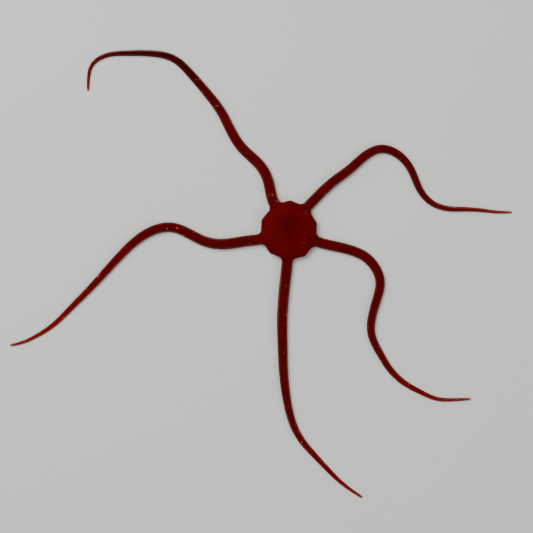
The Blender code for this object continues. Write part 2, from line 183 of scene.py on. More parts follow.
# Where each arm's middle line runs, as the solids have it
COURSES = (
    (
        (-7.2, 12.8), (-9.35, 18.85), (-10.9, 26.2), (-15.5, 35.5), (-24.3, 44.0), (-31.1, 53.7),
        (-37.0, 65.1), (-44.9, 75.7), (-54.2, 86.5), (-63.5, 94.5), (-75.0, 97.2), (-89.3, 97.4),
        (-101.3, 95.8), (-108.1, 90.6), (-109.9, 83.8), (-110.1, 76.7),
    ),
    (
        (8.95, 11.15), (14.45, 17.15), (23.6, 25.9), (34.3, 34.1), (42.2, 41.0), (50.9, 44.7), (59.7, 42.0),
        (67.6, 32.8), (72.3, 22.2), (78.3, 15.4), (86.7, 12.1), (96.0, 11.6), (104.8, 11.2), (113.6, 10.2),
        (123.0, 9.9),
    ),
    (
        (15.2, -6.1), (24.0, -8.4), (33.2, -10.6), (41.3, -14.0), (47.6, -20.4), (50.3, -28.4), (48.7, -37.2),
        (46.2, -46.1), (45.4, -56.0), (49.9, -66.9), (56.5, -77.2), (64.1, -84.1), (72.9, -89.0),
        (81.7, -92.6), (91.1, -93.1), (100.4, -92.7),
    ),
    (
        (-0.7, -16.8), (-1.6, -25.6), (-2.8, -37.2), (-3.5, -49.3), (-3.3, -61.9), (-2.8, -76.8),
        (-1.3, -90.5), (1.4, -103.2), (6.0, -113.5), (13.1, -122.3), (21.3, -131.1), (29.9, -139.3),
        (40.7, -146.9),
    ),
    (
        (-15.0, -4.6), (-22.8, -5.8), (-33.8, -7.4), (-44.3, -6.5), (-54.6, -1.8), (-64.1, 1.7), (-72.7, 0.6),
        (-81.0, -3.6), (-90.2, -11.5), (-100.0, -22.1), (-109.5, -32.4), (-119.9, -42.9), (-129.4, -52.0),
        (-138.7, -58.1), (-146.4, -61.6), (-153.1, -63.2),
    ),
)
# Where each arm's row of beads is painted palest, a painted highlight on the side facing the light: side (1
# right, -1 left), the stations from and to, and how pale
PAINTED_BEAD_HIGHLIGHTS = ((1, 98, 144, 0.3), (-1, 90, 140, 0.18), (1, 0, 0, 0.0), (1, 0, 40, 0.13), (1, 15, 35, 0.09))
FAINT_BEADS = 0.03  # how pale the others are
BEAD_STRENGTHS = (0.75, 1.1)
BEADS_FADE = 8.0
PALE_TIPS = (0.7, 0.4)  # how far the tips of the highest and the lowest spines are pale
# A stretch of each arm painted darker, as painted shade where less light fell: its middle, its reach and how
# dark
PAINTED_SHADE_STRETCHES = ((112, 42, 0.62), (94, 42, 0.25), (0, 9, 0.0), (50, 22, 0.06), (8, 16, 0.06))
# Shares of each arm where its red starts to brighten, partly painted light, and where it starts to turn
# orange
# The brighter orange tips are the arm's own colour; where the brightening starts moves from arm to arm with
# how much light fell there.
TINT_PLACES = ((0.78, 0.88), (0.55, 0.8), (0.55, 0.8), (0.55, 0.9), (0.35, 0.85))
BRIGHTENING = 0.4  # the same two places on every arm's own scale of tints
ORANGE = 0.7
# Stray pale marks on each arm: station, place across the arm from -1 (left) to 1 (right), and strength
ARM_MARKS = (
    (
        (-0.5, 0.8, 0.5), (4.2, 0.24, 0.35), (4.6, -0.34, 0.3), (8, -0.8, 0.1), (10.6, -0.08, 0.12),
        (62.5, 0.01, 0.45), (63, -0.2, 0.35), (72.6, -0.85, 0.2), (73.8, -0.78, 0.45), (80.3, 0.79, 0.3),
        (81.3, 0.2, 0.35), (97.3, 0.8, 0.2),
    ),
    (
        (-2, 0.25, 0.12), (1, 0.06, 0.12), (9.1, -0.85, 0.2), (11, 0.78, 0.4), (14.9, -0.47, 0.2),
        (18.2, 0.85, 0.6), (107.6, -0.7, 0.6),
    ),
    (
        (12, -0.41, 0.1), (69.8, 0.61, 0.15), (80, 0.85, 0.2), (84.3, 0.23, 0.15), (108.9, -0.35, 0.3),
        (119.5, 0.64, 0.2), (131.2, -0.12, 0.2), (137.3, -0.05, 1.0), (142, 0.3, 0.3),
    ),
    (
        (13.2, -0.38, 0.35), (29.2, -0.85, 0.8), (34, -0.33, 0.1), (50.2, -0.19, 0.4), (84.2, 0.66, 0.25),
        (87, 0.8, 0.2), (95.2, -0.59, 0.2), (100.8, 0.31, 0.75), (106.2, 0.48, 0.2), (108.5, -0.12, 0.15),
        (109.7, 0.64, 0.25), (118.3, -0.73, 0.25), (130, -0.8, 0.2),
    ),
    (
        (5, -0.61, 0.12), (19, -0.32, 0.15), (20.2, 0.85, 0.3), (22.9, 0.85, 0.2), (31.5, 0.8, 0.2),
        (37.7, 0.65, 0.45), (41.9, -0.85, 0.25), (46.5, 0.04, 0.5), (52.2, -0.29, 0.55), (81.9, 0.85, 0.25),
        (99.8, 0.61, 1.0), (109.2, 0.84, 0.5), (113.5, 0.66, 0.15), (129, -0.32, 0.3), (144.9, 0.78, 0.35),
        (154.3, 0.63, 0.4),
    ),
)
MARK_REACH = 0.6  # a mark colours the small shape nearest to it, if that is no further
MARK_SPREAD = 0.02  # and those that are no more than this beyond the nearest
DISC_MARK_SPREAD = 0.22
FAINT_MARKS = 0.006  # share of the scales that are a little pale
FAINT_STRENGTHS = (0.04, 0.16)
# The same on the disc: place from its middle, and strength
DISC_MARKS = (
    (-7.6, 4.9, 0.3), (-9.8, 0.5, 0.2), (9.2, -1.7, 0.28), (8.5, -6.9, 0.95), (7.2, -8.9, 0.12),
    (9.4, 11.2, 0.5), (9.4, 9.3, 0.5),
)
ROOT_POINTS = (4.0, 9.0)  # where each middle line starts under the disc, straight out from its middle
COURSE_SAMPLES = 600
LENGTHS = ("inner", "middle", "outer", "tip")

# The mouth
MOUTH_RADIUS = 6.0
MOUTH_DEPTH = 3.0
THROAT_RADIUS = 2.1
THROAT_DEPTH = 4.4
SLIT_WIDTH = 1.3
# The rings of the mouth's wall, its roof and the throat: shares of the mouth's and of the throat's radius,
# what is added to these, and the height
MOUTH_RINGS = (
    (1, 0, 0.25, DISC_FLOOR), (1, 0, 0.05, DISC_FLOOR + 0.1), (1, 0, 0, DISC_FLOOR + 0.6),
    (1, 0, 0, MOUTH_DEPTH), (0, 1, 0, MOUTH_DEPTH + 0.1), (0, 0.96, 0, THROAT_DEPTH), (0, 0, 0, THROAT_DEPTH),
)
JAW_FLOOR = 0.25
JAW_TIP = 1.4
JAW_BEVEL = 0.4
JAW_OVERLAP = 0.35  # how far a jaw runs in under the skin round the mouth
JAW_HOLLOW = 0.14
JAW_HOLLOW_WIDTH = math.sqrt(0.5)
JAW_GRANULE = 0.36  # between the granules of the jaws
PAPILLAE_A_SIDE = 8
PAPILLA_WIDTH = 0.5
PAPILLA_FLATNESS = 0.75
PAPILLA_LENGTHS = (0.86, 0.12)  # the shortest, and what the longest has more
PAPILLA_HEIGHT = 0.42  # above the jaw's lower face
PAPILLA_ROOT = 0.3  # what of it lies in the jaw
PAPILLA_DIP = 0.12
TEETH = 5  # one above the other at each jaw's tip
TOOTH_STEP = 0.48
TOOTH_SIZE = (0.95, 0.62)  # length and width
TOOTH_PLACE = (0.35, 0.3)  # behind the jaw's tip, and the lowest above its lower face
TOOTH_DIP = 0.05
MOUTH_SHIELD_CENTRE = 7.1
MOUTH_SHIELD_SIZE = (3.0, 3.0)
MOUTH_SHIELD_HEIGHT = 0.75
MOUTH_SHIELD_SINK = 0.4
SHIELD_PAIR = (1.25, 1.62, 62.0, 1.9, 1.0)  # beside each: how far inwards, aside, turn, length and width
SLOT_PLACES = (9.5, 12.9)
SLOT_OFFSET = 3.6
SLOT_SIZE = (1.35, 0.42)  # half lengths along and across
SLOT_DEPTH = 0.8

# How the meshes are divided
SKIN_COLUMNS = 36
SKIN_RINGS_PER_JOINT = 4
TIP_RINGS = 5  # round off each arm's end
SKIN_LIFTS = (-0.19, -0.12, -0.09, -0.1)  # how the flesh dips and swells over each joint
DISC_COLUMNS = 240
DISC_RINGS_ABOVE = 62
DISC_RINGS_BELOW = 40
PATCH = 0.003  # width of a small shape's patch on its bake map
STRIPS = 3  # an arm's unwrap is folded into this many strips
STRIP_MARGINS = (0.004, 0.04)  # along a strip and across it
DISC_PATCHES = (0.29, 0.71)  # the middles of its top and its underside on its bake map
DISC_PATCH_RADIUS = 0.28
SMOOTH_ANGLE = math.radians(50)

# The finishes
PATCH_SCALE = 130.0  # how fine each pattern is, for the noise of the object's own coordinates
SPECK_SCALE = 1900.0
BRIGHT_SCALE = 620.0
SHEEN_SCALE = 900.0
WANDER_SCALE = 220.0
GRAIN_SCALE = 4200.0
GRAIN_NOISE_SCALE = 1500.0
# Where in the noise each pattern starts and where it is full
PATCH_EDGES = (0.38, 0.66)
SPECK_EDGES = (0.5, 0.72)
BRIGHT_EDGES = (0.54, 0.7)
SOFT_EDGES = (0.35, 0.65)
GRAIN_CELLS = 0.6  # how much of the grain is cells
GRAIN_HEIGHT = 0.00006
SHINE = 0.2
FINE_DETAIL = 3.0
BRIGHT_SPOTS = (1.3, 1.1, 1.1, 1.0)  # brighter red, as a multiple of the colour
BRIGHT_SPOT_STRENGTH = 0.6
BRIGHT_TIPS = (1.9, 1.5, 1.3, 1.0)
BRIGHTENED = 0.8  # where on the scale of tints the brightening is full
TIP_STRENGTH = 0.9
PALE_STRENGTH = 0.9
PALE_POINT = (0.97, 0.35)  # where the last point of an arm turns paler, and how much
PALE_END_START = 0.35  # where a spine or papilla starts to turn paler
PALER_BELOW = 0.75
# Where round an arm its flesh, its side plates and its spines start and end to turn paler
SKIN_PALING = (0.6, 0.72)
PLATE_PALING = (0.6, 0.74)
SPINE_PALING = (0.66, 0.76)
# How much paler the plates are before and after that, and the spines, the small scales and the shields
PLATES_PALER = (0.12, 0.72)
SPINES_PALER = 0.6
FOOT_SCALES_PALER = 0.8
SHIELDS_PALER = 0.6
DISC_PALING = (3, 8)  # the same for the disc's skin, in rings past its rim
FLECK_FLOOR = 0.55  # brightness of the darkest small shapes
DARK_PATCH_PLACE = (1.5, 0.4)  # the darker middle of the disc
DARK_PATCH_SQUEEZE = (1.25, 0.75, 0.0)
DARK_PATCH_EDGES = (0.0025, 0.0085)
DARK_PATCH_DEPTH = 0.85
WANDER = 0.006  # how far its edge wanders
DARK_IN_THE_MIDDLE = ("Disc skin", "Disc granules")
USUAL_FINISH = {
    "patches": 0.45, "specks": 0.3, "pale_ends": 0.0, "roughness": (0.36, 0.5), "bump": 0.25, "pale": "pale",
}
FINISHES = {
    "Arm flesh": {"colour": "arm_dark", "dark": "arm_dark", "roughness": (0.45, 0.6)},
    "Back scales": {"colour": "arm", "dark": "arm_dark", "patches": 0.3},
    "Side plates": {"colour": "arm", "dark": "arm_dark", "specks": 0.2, "roughness": (0.32, 0.46)},
    "Spines": {
        "colour": "arm", "dark": "arm_dark", "patches": 0.2, "specks": 0.1, "pale_ends": 1.0,
        "roughness": (0.26, 0.36), "bump": 0.12,
    },
    "Disc skin": {
        "colour": "disc", "dark": "disc_dark", "patches": 0.4, "specks": 0.25, "roughness": (0.42, 0.58),
    },
    "Disc granules": {
        "colour": "disc", "dark": "disc_dark", "patches": 0.25, "specks": 0.2, "roughness": (0.4, 0.55),
        "bump": 0.1, "pale": "disc_pale",
    },
    "Jaws": {"colour": "jaw", "dark": "under", "patches": 0.5, "roughness": (0.4, 0.55), "bump": 0.5},
    "Jaw granules": {
        "colour": "jaw", "dark": "under", "patches": 0.4, "specks": 0.2, "roughness": (0.4, 0.55),
        "bump": 0.1,
    },
    "Papillae": {
        "colour": "jaw", "dark": "under", "patches": 0.2, "specks": 0.2, "pale_ends": 0.8,
        "roughness": (0.32, 0.45), "bump": 0.2,
    },
    "Mouth shields": {
        "colour": "under", "dark": "disc", "patches": 0.4, "specks": 0.25, "roughness": (0.34, 0.48),
        "bump": 0.3,
    },
}

# The stage, in metres
CAMERA_HEIGHT = 1.0
PICTURE_WIDTH = 0.29315  # what the photograph takes in
PICTURE_MIDDLE = (0.00305, 0.00394)
SENSOR = 36.0  # millimetres
NEAREST_SEEN = 0.01
FLOOR_DROP = 0.0001
FLOOR_SIZE = 4.0
FLOOR_SCALE = 9.0
FLOOR_ROUGHNESS = 0.75
# Soft round lights, all aimed at the origin: name, place, width, power in watts and colour
LIGHTS = (
    ("Key", (-0.45, 0.4, 1.0), 0.9, 13.0, (1.0, 0.98, 0.95)),
    ("Fill", (0.9, -0.5, 0.9), 1.0, 6.0, (0.95, 0.97, 1.0)),
    ("Rim", (-1.0, 0.6, 0.3), 0.5, 1.4, (1.0, 1.0, 1.0)),
)
ROOM_LIGHT = (0.9, 0.92, 0.95, 1.0)
ROOM_STRENGTH = 0.2


# Settings


class StarSizes(PropertyGroup):
    joints: IntProperty(name="Joints", description="Joints along each free arm", default=146, min=40)
    scale_rows: IntProperty(name="Scale rows", description="Rows of back scales on each joint", default=2)
    scales_across: IntProperty(name="Scales across", description="Back scales across the base", default=10)
    scale_height: FloatProperty(name="Scale height", description="Height of a scale, in mm", default=0.1)
    spines_a_side: IntProperty(name="Spines a side", description="Spines beside a base joint", default=9)
    spine_length: FloatProperty(name="Spine length", description="Longest spine over its joint", default=0.95)
    spine_flare: FloatProperty(
        name="Spine flare", description="Turn away from the arm", default=math.radians(11), subtype="ANGLE"
    )
    granule_spacing: FloatProperty(
        name="Granule spacing", description="Between the disc's granules, in mm", default=0.38
    )
    granule_width: FloatProperty(name="Granule width", description="Width of a granule, in mm", default=0.43)


def tint(name, description, default):
    return FloatVectorProperty(name=name, description=description, default=default, subtype="COLOR")


class StarColours(PropertyGroup):
    disc: tint("Disc", "Even red of the disc", (0.110, 0.0010, 0.0009))
    disc_dark: tint("Disc dark", "Sunken middle of the disc", (0.070, 0.0008, 0.0008))
    arm: tint("Arm", "Red of the arms' plates", (0.092, 0.0008, 0.0007))
    arm_dark: tint("Arm dark", "Skin between the plates", (0.045, 0.0008, 0.0008))
    tip: tint("Tip", "Orange red of the arms' ends", (0.19, 0.015, 0.0035))
    # The pale colour also paints the highlight on one row of beads of each arm.
    pale: tint("Pale", "Pale ends of the spines and stray pale scales", (0.80, 0.33, 0.25))
    disc_pale: tint("Disc marks", "Stray bright granules", (0.85, 0.13, 0.11))
    under: tint("Underside", "Paler red below", (0.24, 0.022, 0.014))
    jaw: tint("Jaws", "Jaws and papillae", (0.36, 0.075, 0.040))
    gloss: tint("Gloss", "Tint of the wet shine", (1.0, 0.07, 0.06))
    floor: tint("Floor", "Pale floor", (0.80, 0.80, 0.79))


class StarSettings(PropertyGroup):
    sizes: PointerProperty(type=StarSizes)
    colours: PointerProperty(type=StarColours)


def sizes():
    return bpy.context.scene.brittle_star.sizes


def colours():
    return bpy.context.scene.brittle_star.colours


# The form of the disc and the arms


def bell(away, spread, power=2):
    """1 in the middle, and fading out past its spread."""
    return np.exp(-((away / spread) ** power))


def ramp(value, low, high):
    """From 0 at low to 1 at high, and held beyond them."""
    return np.clip((value - low) / (high - low), 0.0, 1.0)


def unit(vectors):
    return vectors / np.linalg.norm(vectors, axis=-1, keepdims=True)


def turn_from(turn, other):
    """How far a turn is from another, from -180 to 180 degrees."""
    return (turn - other + 180) % 360 - 180


def arm_turn(index):
    return FIRST_ARM_TURN + ARM_STEP * index


def between_turn(index):
    """The middle of the space between one arm and the next."""
    return arm_turn(index) + ARM_STEP / 2


def from_nearest(turn, first):
    """How far a turn is from the nearest of the five that start at first, in degrees."""
    return (turn - first - ARM_STEP / 2) % -ARM_STEP + ARM_STEP / 2


def heading(turn):
    """The flat unit vector or vectors at that turn, in degrees from +X."""
    turn = np.radians(turn)
    return np.stack([np.cos(turn), np.sin(turn)], axis=-1)


def ripples(x, y, wave, seed, waves=14):
    """Smooth unevenness between about -1 and 1, made of waves that run every way."""
    dice = np.random.default_rng(seed)
    total = np.zeros(np.broadcast(x, y).shape)
    for _ in range(waves):
        turn, phase = dice.uniform(0, 2 * np.pi, 2)
        length = wave * dice.uniform(0.7, 1.5)
        total += np.sin((x * np.cos(turn) + y * np.sin(turn)) * 2 * np.pi / length + phase)
    return total / math.sqrt(waves)


def spline_through(points, samples):
    """Points along a natural cubic spline through the given flat points."""
    p = np.array(points, float)
    knots = np.concatenate([[0.0], np.cumsum(np.linalg.norm(np.diff(p, axis=0), axis=1))])
    step = np.diff(knots)
    system = np.eye(len(p))
    wanted = np.zeros_like(p)
    for i in range(1, len(p) - 1):
        system[i, i - 1 : i + 2] = step[i - 1], 2 * (step[i - 1] + step[i]), step[i]
        wanted[i] = 6 * ((p[i + 1] - p[i]) / step[i] - (p[i] - p[i - 1]) / step[i - 1])
    bend = np.linalg.solve(system, wanted)
    at = np.linspace(0.0, knots[-1], samples)
    i = np.clip(np.searchsorted(knots, at, side="right") - 1, 0, len(p) - 2)
    width = step[i][:, None]
    before = (knots[i + 1] - at)[:, None]
    after = (at - knots[i])[:, None]
    curved = (bend[i] * before**3 + bend[i + 1] * after**3) / (6 * width)
    straight = (p[i] / width - bend[i] * width / 6) * before
    return curved + straight + (p[i + 1] / width - bend[i + 1] * width / 6) * after


def mark_nearest(paleness, away, strength, spread):
    """Gives a pale mark to the small shape nearest to it, and to those that are hardly further."""
    nearest = away.min()
    if nearest < MARK_REACH:
        paleness[away < nearest + spread] = strength


class Section:
    """Half of an arm's cross-section, tabled by girth, from the middle of the back to that of the belly."""

    def __init__(self):
        angle = np.linspace(math.pi / 2, -math.pi / 2, 721)
        cosine, sine = np.abs(np.cos(angle)), np.sin(angle)
        power = np.where(sine >= 0, 2 / BACK_ROUNDNESS, 2 / BELLY_ROUNDNESS)
        reach = np.where(sine >= 0, 1 - WAIST_HEIGHT, -WAIST_HEIGHT)
        self.out = cosine**power
        self.up = WAIST_HEIGHT + reach * np.abs(sine) ** power
        across = np.diff(self.out)
        down = np.diff(self.up) * 2 * ARM_FLATNESS
        run = np.concatenate([[0.0], np.cumsum(np.hypot(across, down))])
        self.girth = run / run[-1]
        self.half_girth = run[-1]  # over half of the arm's width
        slope = [np.gradient(table, run) for table in (self.out, self.up * 2 * ARM_FLATNESS)]
        self.normal_up, down = unit(np.stack(slope, axis=1)).T
        self.normal_out = -down

    def at(self, girth):
        """Share of the half width, share of the height, and the two parts of the normal."""
        girth = (girth + 1) % 2 - 1
        side = np.where(girth < 0, -1.0, 1.0)
        place = np.abs(girth)
        tables = self.out, self.up, self.normal_out, self.normal_up
        out, up, normal_out, normal_up = (np.interp(place, self.girth, table) for table in tables)
        return out * side, up, normal_out * side, normal_up


class Course:
    """One arm's form: its middle line, its width and its joints."""

    section = Section()

    def __init__(self, index):
        self.index = index
        hidden = [tuple(heading(arm_turn(index)) * reach) for reach in ROOT_POINTS]
        self.line = spline_through([*hidden, *COURSES[index]], COURSE_SAMPLES)
        steps = np.linalg.norm(np.diff(self.line, axis=0), axis=1)
        run = np.concatenate([[0.0], np.cumsum(steps)])
        near = slice(0, COURSE_SAMPLES // 4)  # here the distance from the disc's middle only grows
        reach = np.linalg.norm(self.line[near], axis=1)
        self.stations = run - np.interp(ROOT_REACH, reach, run[near])
        self.root = float(np.interp(ROOT_START, reach, self.stations[near]))
        self.start = float(np.interp(MOUTH_RADIUS, reach, self.stations[near]))
        self.length = float(self.stations[-1])
        self.base_width = ARM_WIDTH * ARM_SHARES[index]
        crossing = self.along(np.interp(DISC_RADIUS, reach, self.stations[near]), self.line)
        self.crossing_turn = math.degrees(math.atan2(crossing[1], crossing[0]))
        self.ahead = unit(np.gradient(self.line, self.stations, axis=0))

    def along(self, station, table):
        return np.stack([np.interp(station, self.stations, table[:, axis]) for axis in (0, 1)], axis=-1)

    def share(self, station):
        return np.clip(station / self.length, 0.0, 1.0)

    def width(self, station):
        free = self.base_width * (1 - (1 - TIP_SHARE) * self.share(station) ** TAPER_POWER)
        point = ramp(station, self.length - POINT_LENGTH, self.length)
        inside = (ROOT_WIDTH_INSIDE - self.base_width) * ramp(station, 0.0, self.root)
        return free * (1 - POINT_SHARE * point**2) + inside

    def tint(self, station):
        """How far the arm's colour has gone towards its tip's."""
        places = 0.0, *TINT_PLACES[self.index], 1.0
        return np.interp(self.share(station), places, (0.0, BRIGHTENING, ORANGE, 1.0))

    def dark(self, station):
        """How much painted shade darkens the arm's red here, over the stretch that lay in less light."""
        middle, reach, depth = PAINTED_SHADE_STRETCHES[self.index]
        return depth * bell(station - middle, reach, 4)

    def tints(self, station):
        """What the materials read of how the red changes along the arm, and of the painted shade over its
        darker stretch.
        """
        return {"along": self.tint(station), "dark": self.dark(station)}

    def joint(self, number):
        """The station where a joint starts. Those below 0 are under the disc."""
        share = np.clip(number / sizes().joints, 0.0, 1.0)
        free = (self.length - TIP_LENGTH / 2) * share * (1 + SHORTENING - SHORTENING * share)
        return np.where(number < 0, self.start * -np.asarray(number) / ROOT_JOINTS, free)

    def half_girth(self, station):
        return self.section.half_girth * self.width(station) / 2

    def place(self, station, girth, lift, shrink=1.0):
        """Points on the arm's surface, raised by lift, and drawn in towards its middle line by shrink."""
        station, girth, lift, shrink = np.broadcast_arrays(station, girth, lift, shrink)
        out, up, normal_out, normal_up = self.section.at(girth)
        width = self.width(station)
        swell = ROOT_SWELL * bell(station - ROOT_SWELL_PLACE, ROOT_SWELL_SPREAD)
        high = width * ARM_FLATNESS - BELLY_CLEARANCE + swell
        right = self.along(station, self.ahead)[..., ::-1] * (1, -1)
        across = (out * width / 2 + normal_out * lift) * shrink
        middle = WAIST_HEIGHT * high
        z = BELLY_CLEARANCE + middle + (up * high - middle + normal_up * lift) * shrink
        flat = self.along(station, self.line) + right * across[..., None]
        return np.concatenate([flat, np.maximum(z, 0.0)[..., None]], axis=-1)

    def frame_at(self, station, girth):
        """The arm's forward direction and its outward normal at a place on its surface."""
        _, _, normal_out, normal_up = self.section.at(girth)
        flat = self.along(station, self.ahead)
        forward = np.concatenate([flat, np.zeros_like(flat[..., :1])], axis=-1)
        right = np.concatenate([flat[..., ::-1] * (1, -1), np.zeros_like(flat[..., :1])], axis=-1)
        normal = right * normal_out[..., None] + np.array([0.0, 0.0, 1.0]) * normal_up[..., None]
        return forward, normal

    def paleness(self, station, girth):
        """How strongly the stray pale marks colour the places given."""
        found = np.zeros(len(station))
        for place, across, strength in ARM_MARKS[self.index]:
            spot = math.copysign(self.girth_at(abs(across)), across)
            away = np.hypot(station - place, (girth - spot) * self.half_girth(station))
            mark_nearest(found, away, strength, MARK_SPREAD)
        return found

    def girth_at(self, across):
        """The girth on the back, at a share of the half width from the middle line."""
        back = slice(0, int(np.argmax(self.section.out)) + 1)
        return np.interp(across, self.section.out[back], self.section.girth[back])

    def unwrap(self, station, girth, inside=None):
        """The place on the arm's bake map, folded into strips. The strip is that of the station inside."""
        share, kept = (
            (each - self.start) / (self.length - self.start) * STRIPS
            for each in (station, station if inside is None else inside)
        )
        strip = np.clip(np.floor(kept), 0, STRIPS - 1)
        across = STRIP_MARGINS[0] + (1 - 2 * STRIP_MARGINS[0]) * (share - strip)
        high = STRIP_MARGINS[1] + (0.5 - STRIP_MARGINS[1]) * (girth + 1)
        return np.stack([across, (strip + high) / STRIPS], axis=-1)


ARMS = [Course(index) for index in range(ARM_COUNT)]


def margin_radius(turn):
    """The disc's outline: it bulges between the arms, and is drawn in over each, between two shoulders."""
    from_between = np.radians(turn - between_turn(0)) * ARM_COUNT
    bulge = sum(deep * np.cos(often * from_between) for often, deep in ((1, LOBE), (2, WAIST), (4, SCALLOP)))
    for index, reach in enumerate(LOBE_REACHES):
        away = np.clip(turn_from(turn, between_turn(index)), ARM_STEP, -ARM_STEP)
        bulge = bulge + reach * (1 + np.cos(math.pi * away / ARM_STEP)) / 2
        from_arm = np.abs(turn_from(turn, ARMS[index].crossing_turn))
        bulge = bulge + SHOULDER * bell(from_arm - SHOULDER_TURN, SHOULDER_SPREAD)
        bulge = bulge - NOTCH * bell(from_arm, NOTCH_TURN)
    return DISC_RADIUS + bulge


def top_relief(share, turn):
    """What the upper face of the disc adds to its even dome."""
    relief = -CENTRE_SINK * bell(share, SINK_SPREAD)
    for index in range(ARM_COUNT):
        for side in (-1, 1):
            away = np.radians(turn_from(turn, arm_turn(index) + side * SHIELD_TURN))
            relief = relief + SHIELD_SWELL * bell(np.hypot(away, share - SHIELD_PLACE), SHIELD_SPREAD)
    return relief


class DiscProfile:
    """The disc's profile from the middle of its top (0) over the rim to the middle of its floor (1)."""

    def __init__(self):
        angle = np.linspace(0, math.pi / 2, 400)
        above = np.sin(angle) ** (2 / TOP_POWER)
        below = np.sin(angle[::-1]) ** (2 / FLOOR_POWER)
        top = DISC_RIM + (DISC_TOP - DISC_RIM) * np.cos(angle)
        floor = DISC_FLOOR + (DISC_RIM - DISC_FLOOR) * (1 - np.cos(angle[::-1]))
        self.share = np.concatenate([above, below[1:]])
        self.z = np.concatenate([top, floor[1:]])
        run = np.concatenate([[0.0], np.cumsum(np.hypot(np.diff(self.share) * DISC_RADIUS, np.diff(self.z)))])
        self.length = run[-1]
        self.place = run / run[-1]
        self.rim = float(self.place[len(angle) - 1])
        band = np.diff(run) * (self.share[1:] + self.share[:-1]) * DISC_RADIUS * math.pi
        self.area = np.concatenate([[0.0], np.cumsum(band)])

    def at(self, place):
        return np.interp(place, self.place, self.share), np.interp(place, self.place, self.z)


PROFILE = DiscProfile()


def slot_distance(x, y):
    """How far a point under the disc is from the nearest slot, as a share of the slot's own half size."""
    nearest = np.full(np.broadcast(x, y).shape, 9.0)
    for index in range(ARM_COUNT):
        ahead = heading(arm_turn(index))
        along = x * ahead[0] + y * ahead[1]
        across = np.abs(-x * ahead[1] + y * ahead[0])
        for reach in SLOT_PLACES:
            away = np.hypot((along - reach) / SLOT_SIZE[0], (across - SLOT_OFFSET) / SLOT_SIZE[1])
            nearest = np.minimum(nearest, away)
    return nearest


def disc_point(place, turn):
    """A point on the disc's skin."""
    share, z = PROFILE.at(place)
    radius = DISC_RADIUS + (margin_radius(turn) - DISC_RADIUS) * share**EDGE_ONLY
    flat = heading(turn) * (radius * share)[..., None]
    x, y = flat[..., 0], flat[..., 1]
    upper = place < PROFILE.rim
    fade = ramp(np.abs(place - PROFILE.rim), 0.0, RIM_FADE)
    uneven = fade * sum(deep * ripples(x, y, wave, seed) for wave, seed, deep in UNEVENNESS)
    above = z + fade * top_relief(share, turn) + uneven
    below = z + SLOT_DEPTH * bell(slot_distance(x, y), 1.0, 4) + UNEVENNESS_BELOW * uneven
    return np.stack([x, y, np.where(upper, above, below)], axis=-1)


def disc_normal(place, turn):
    """The outward direction of the disc's skin."""
    small = 1e-3
    across = disc_point(place + small, turn) - disc_point(place - small, turn)
    round_it = disc_point(place, turn + 0.2) - disc_point(place, turn - 0.2)
    return unit(np.cross(across, round_it))


def disc_unwrap(place, turn, upper=False):
    """The place on the disc's bake map: the top and the underside, each a round patch."""
    share = np.where(upper, place / PROFILE.rim, (1 - place) / (1 - PROFILE.rim))
    centre = np.where(upper, *DISC_PATCHES)
    return centre[..., None] + heading(turn) * (DISC_PATCH_RADIUS * share)[..., None]


# Modelling


def deselect_all():
    if bpy.context.object and bpy.context.object.mode != "OBJECT":
        bpy.ops.object.mode_set(mode="OBJECT")
    for obj in bpy.context.view_layer.objects:
        obj.select_set(False)


def pick(obj):
    """Makes an object the only one selected, and the active one."""
    deselect_all()
    obj.select_set(True)
    bpy.context.view_layer.objects.active = obj
    return obj


def added(shape, **settings):
    """Adds a primitive mesh, with nothing else selected."""
    deselect_all()
    getattr(bpy.ops.mesh, f"primitive_{shape}_add")(**settings)
    return bpy.context.object


def turn_outwards():
    """In edit mode, turns every face outwards."""
    bpy.ops.mesh.select_all(action="SELECT")
    bpy.ops.mesh.normals_make_consistent(inside=False)


def middle_of(item):
    if isinstance(item, bmesh.types.BMVert):
        return item.co
    return sum((vert.co for vert in item.verts), Vector()) / len(item.verts)


def select_where(obj, kind, test):
    """In edit mode, selects only the verts, edges or faces whose middle passes the test."""
    bpy.ops.mesh.select_mode(type={"verts": "VERT", "edges": "EDGE", "faces": "FACE"}[kind])
    bpy.ops.mesh.select_all(action="DESELECT")
    bm = bmesh.from_edit_mesh(obj.data)
    for item in list(getattr(bm, kind)):
        if test(middle_of(item)):
            item.select_set(True)
    bmesh.update_edit_mesh(obj.data)


def numbers(items, field, width, kind=np.float64):
    found = np.empty(len(items) * width, kind)
    items.foreach_get(field, found)
    return found.reshape(-1, width) if width > 1 else found


def to_frame(points):
    """From millimetres round the disc's middle to metres in the frame."""
    return (points + (*DISC_MIDDLE, 0.0)) * MM


def mark(obj, name, values):
    """Gives every corner of the mesh a named number, for the materials to read."""
    layer = obj.data.attributes.new(name, "FLOAT", "POINT")
    layer.data.foreach_set("value", np.ascontiguousarray(values, np.float32).ravel())


def mark_each(obj, corners, **values):
    """Gives each copy of a shape of so many corners its own numbers. A single number does for every copy."""
    copies = len(obj.data.vertices) // corners
    for name, value in values.items():
        mark(obj, name, np.repeat(value * np.ones(copies), corners))


def complete(obj, finish, slot, *nodes):
    """Shades a piece, dresses it and ties it to the frame."""
    pick(obj)
    bpy.ops.object.shade_smooth_by_angle(angle=SMOOTH_ANGLE)
    obj.data.materials.clear()
    obj.data.materials.append(red_material(finish))
    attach(obj, "root")
    if nodes:
        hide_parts(*nodes)
    return obj


class Mould:
    """A small shape, modelled once, whose copies are laid on the animal."""

    def __init__(self, obj, patch):
        mesh = obj.data
        self.points = numbers(mesh.vertices, "co", 3)
        self.starts = numbers(mesh.polygons, "loop_start", 1, np.int32)
        self.corners = numbers(mesh.loops, "vertex_index", 1, np.int32)
        self.count = len(self.points)
        self.patch = patch(self.points)
        bpy.data.objects.remove(obj)


def flat_patch(points):
    """A low shape seen from above, with its walls spread out round its top."""
    z = points[:, 2]
    rise = (z - z.min()) / (z.max() - z.min())
    return points[:, :2] * (1 - 0.4 * rise)[:, None]


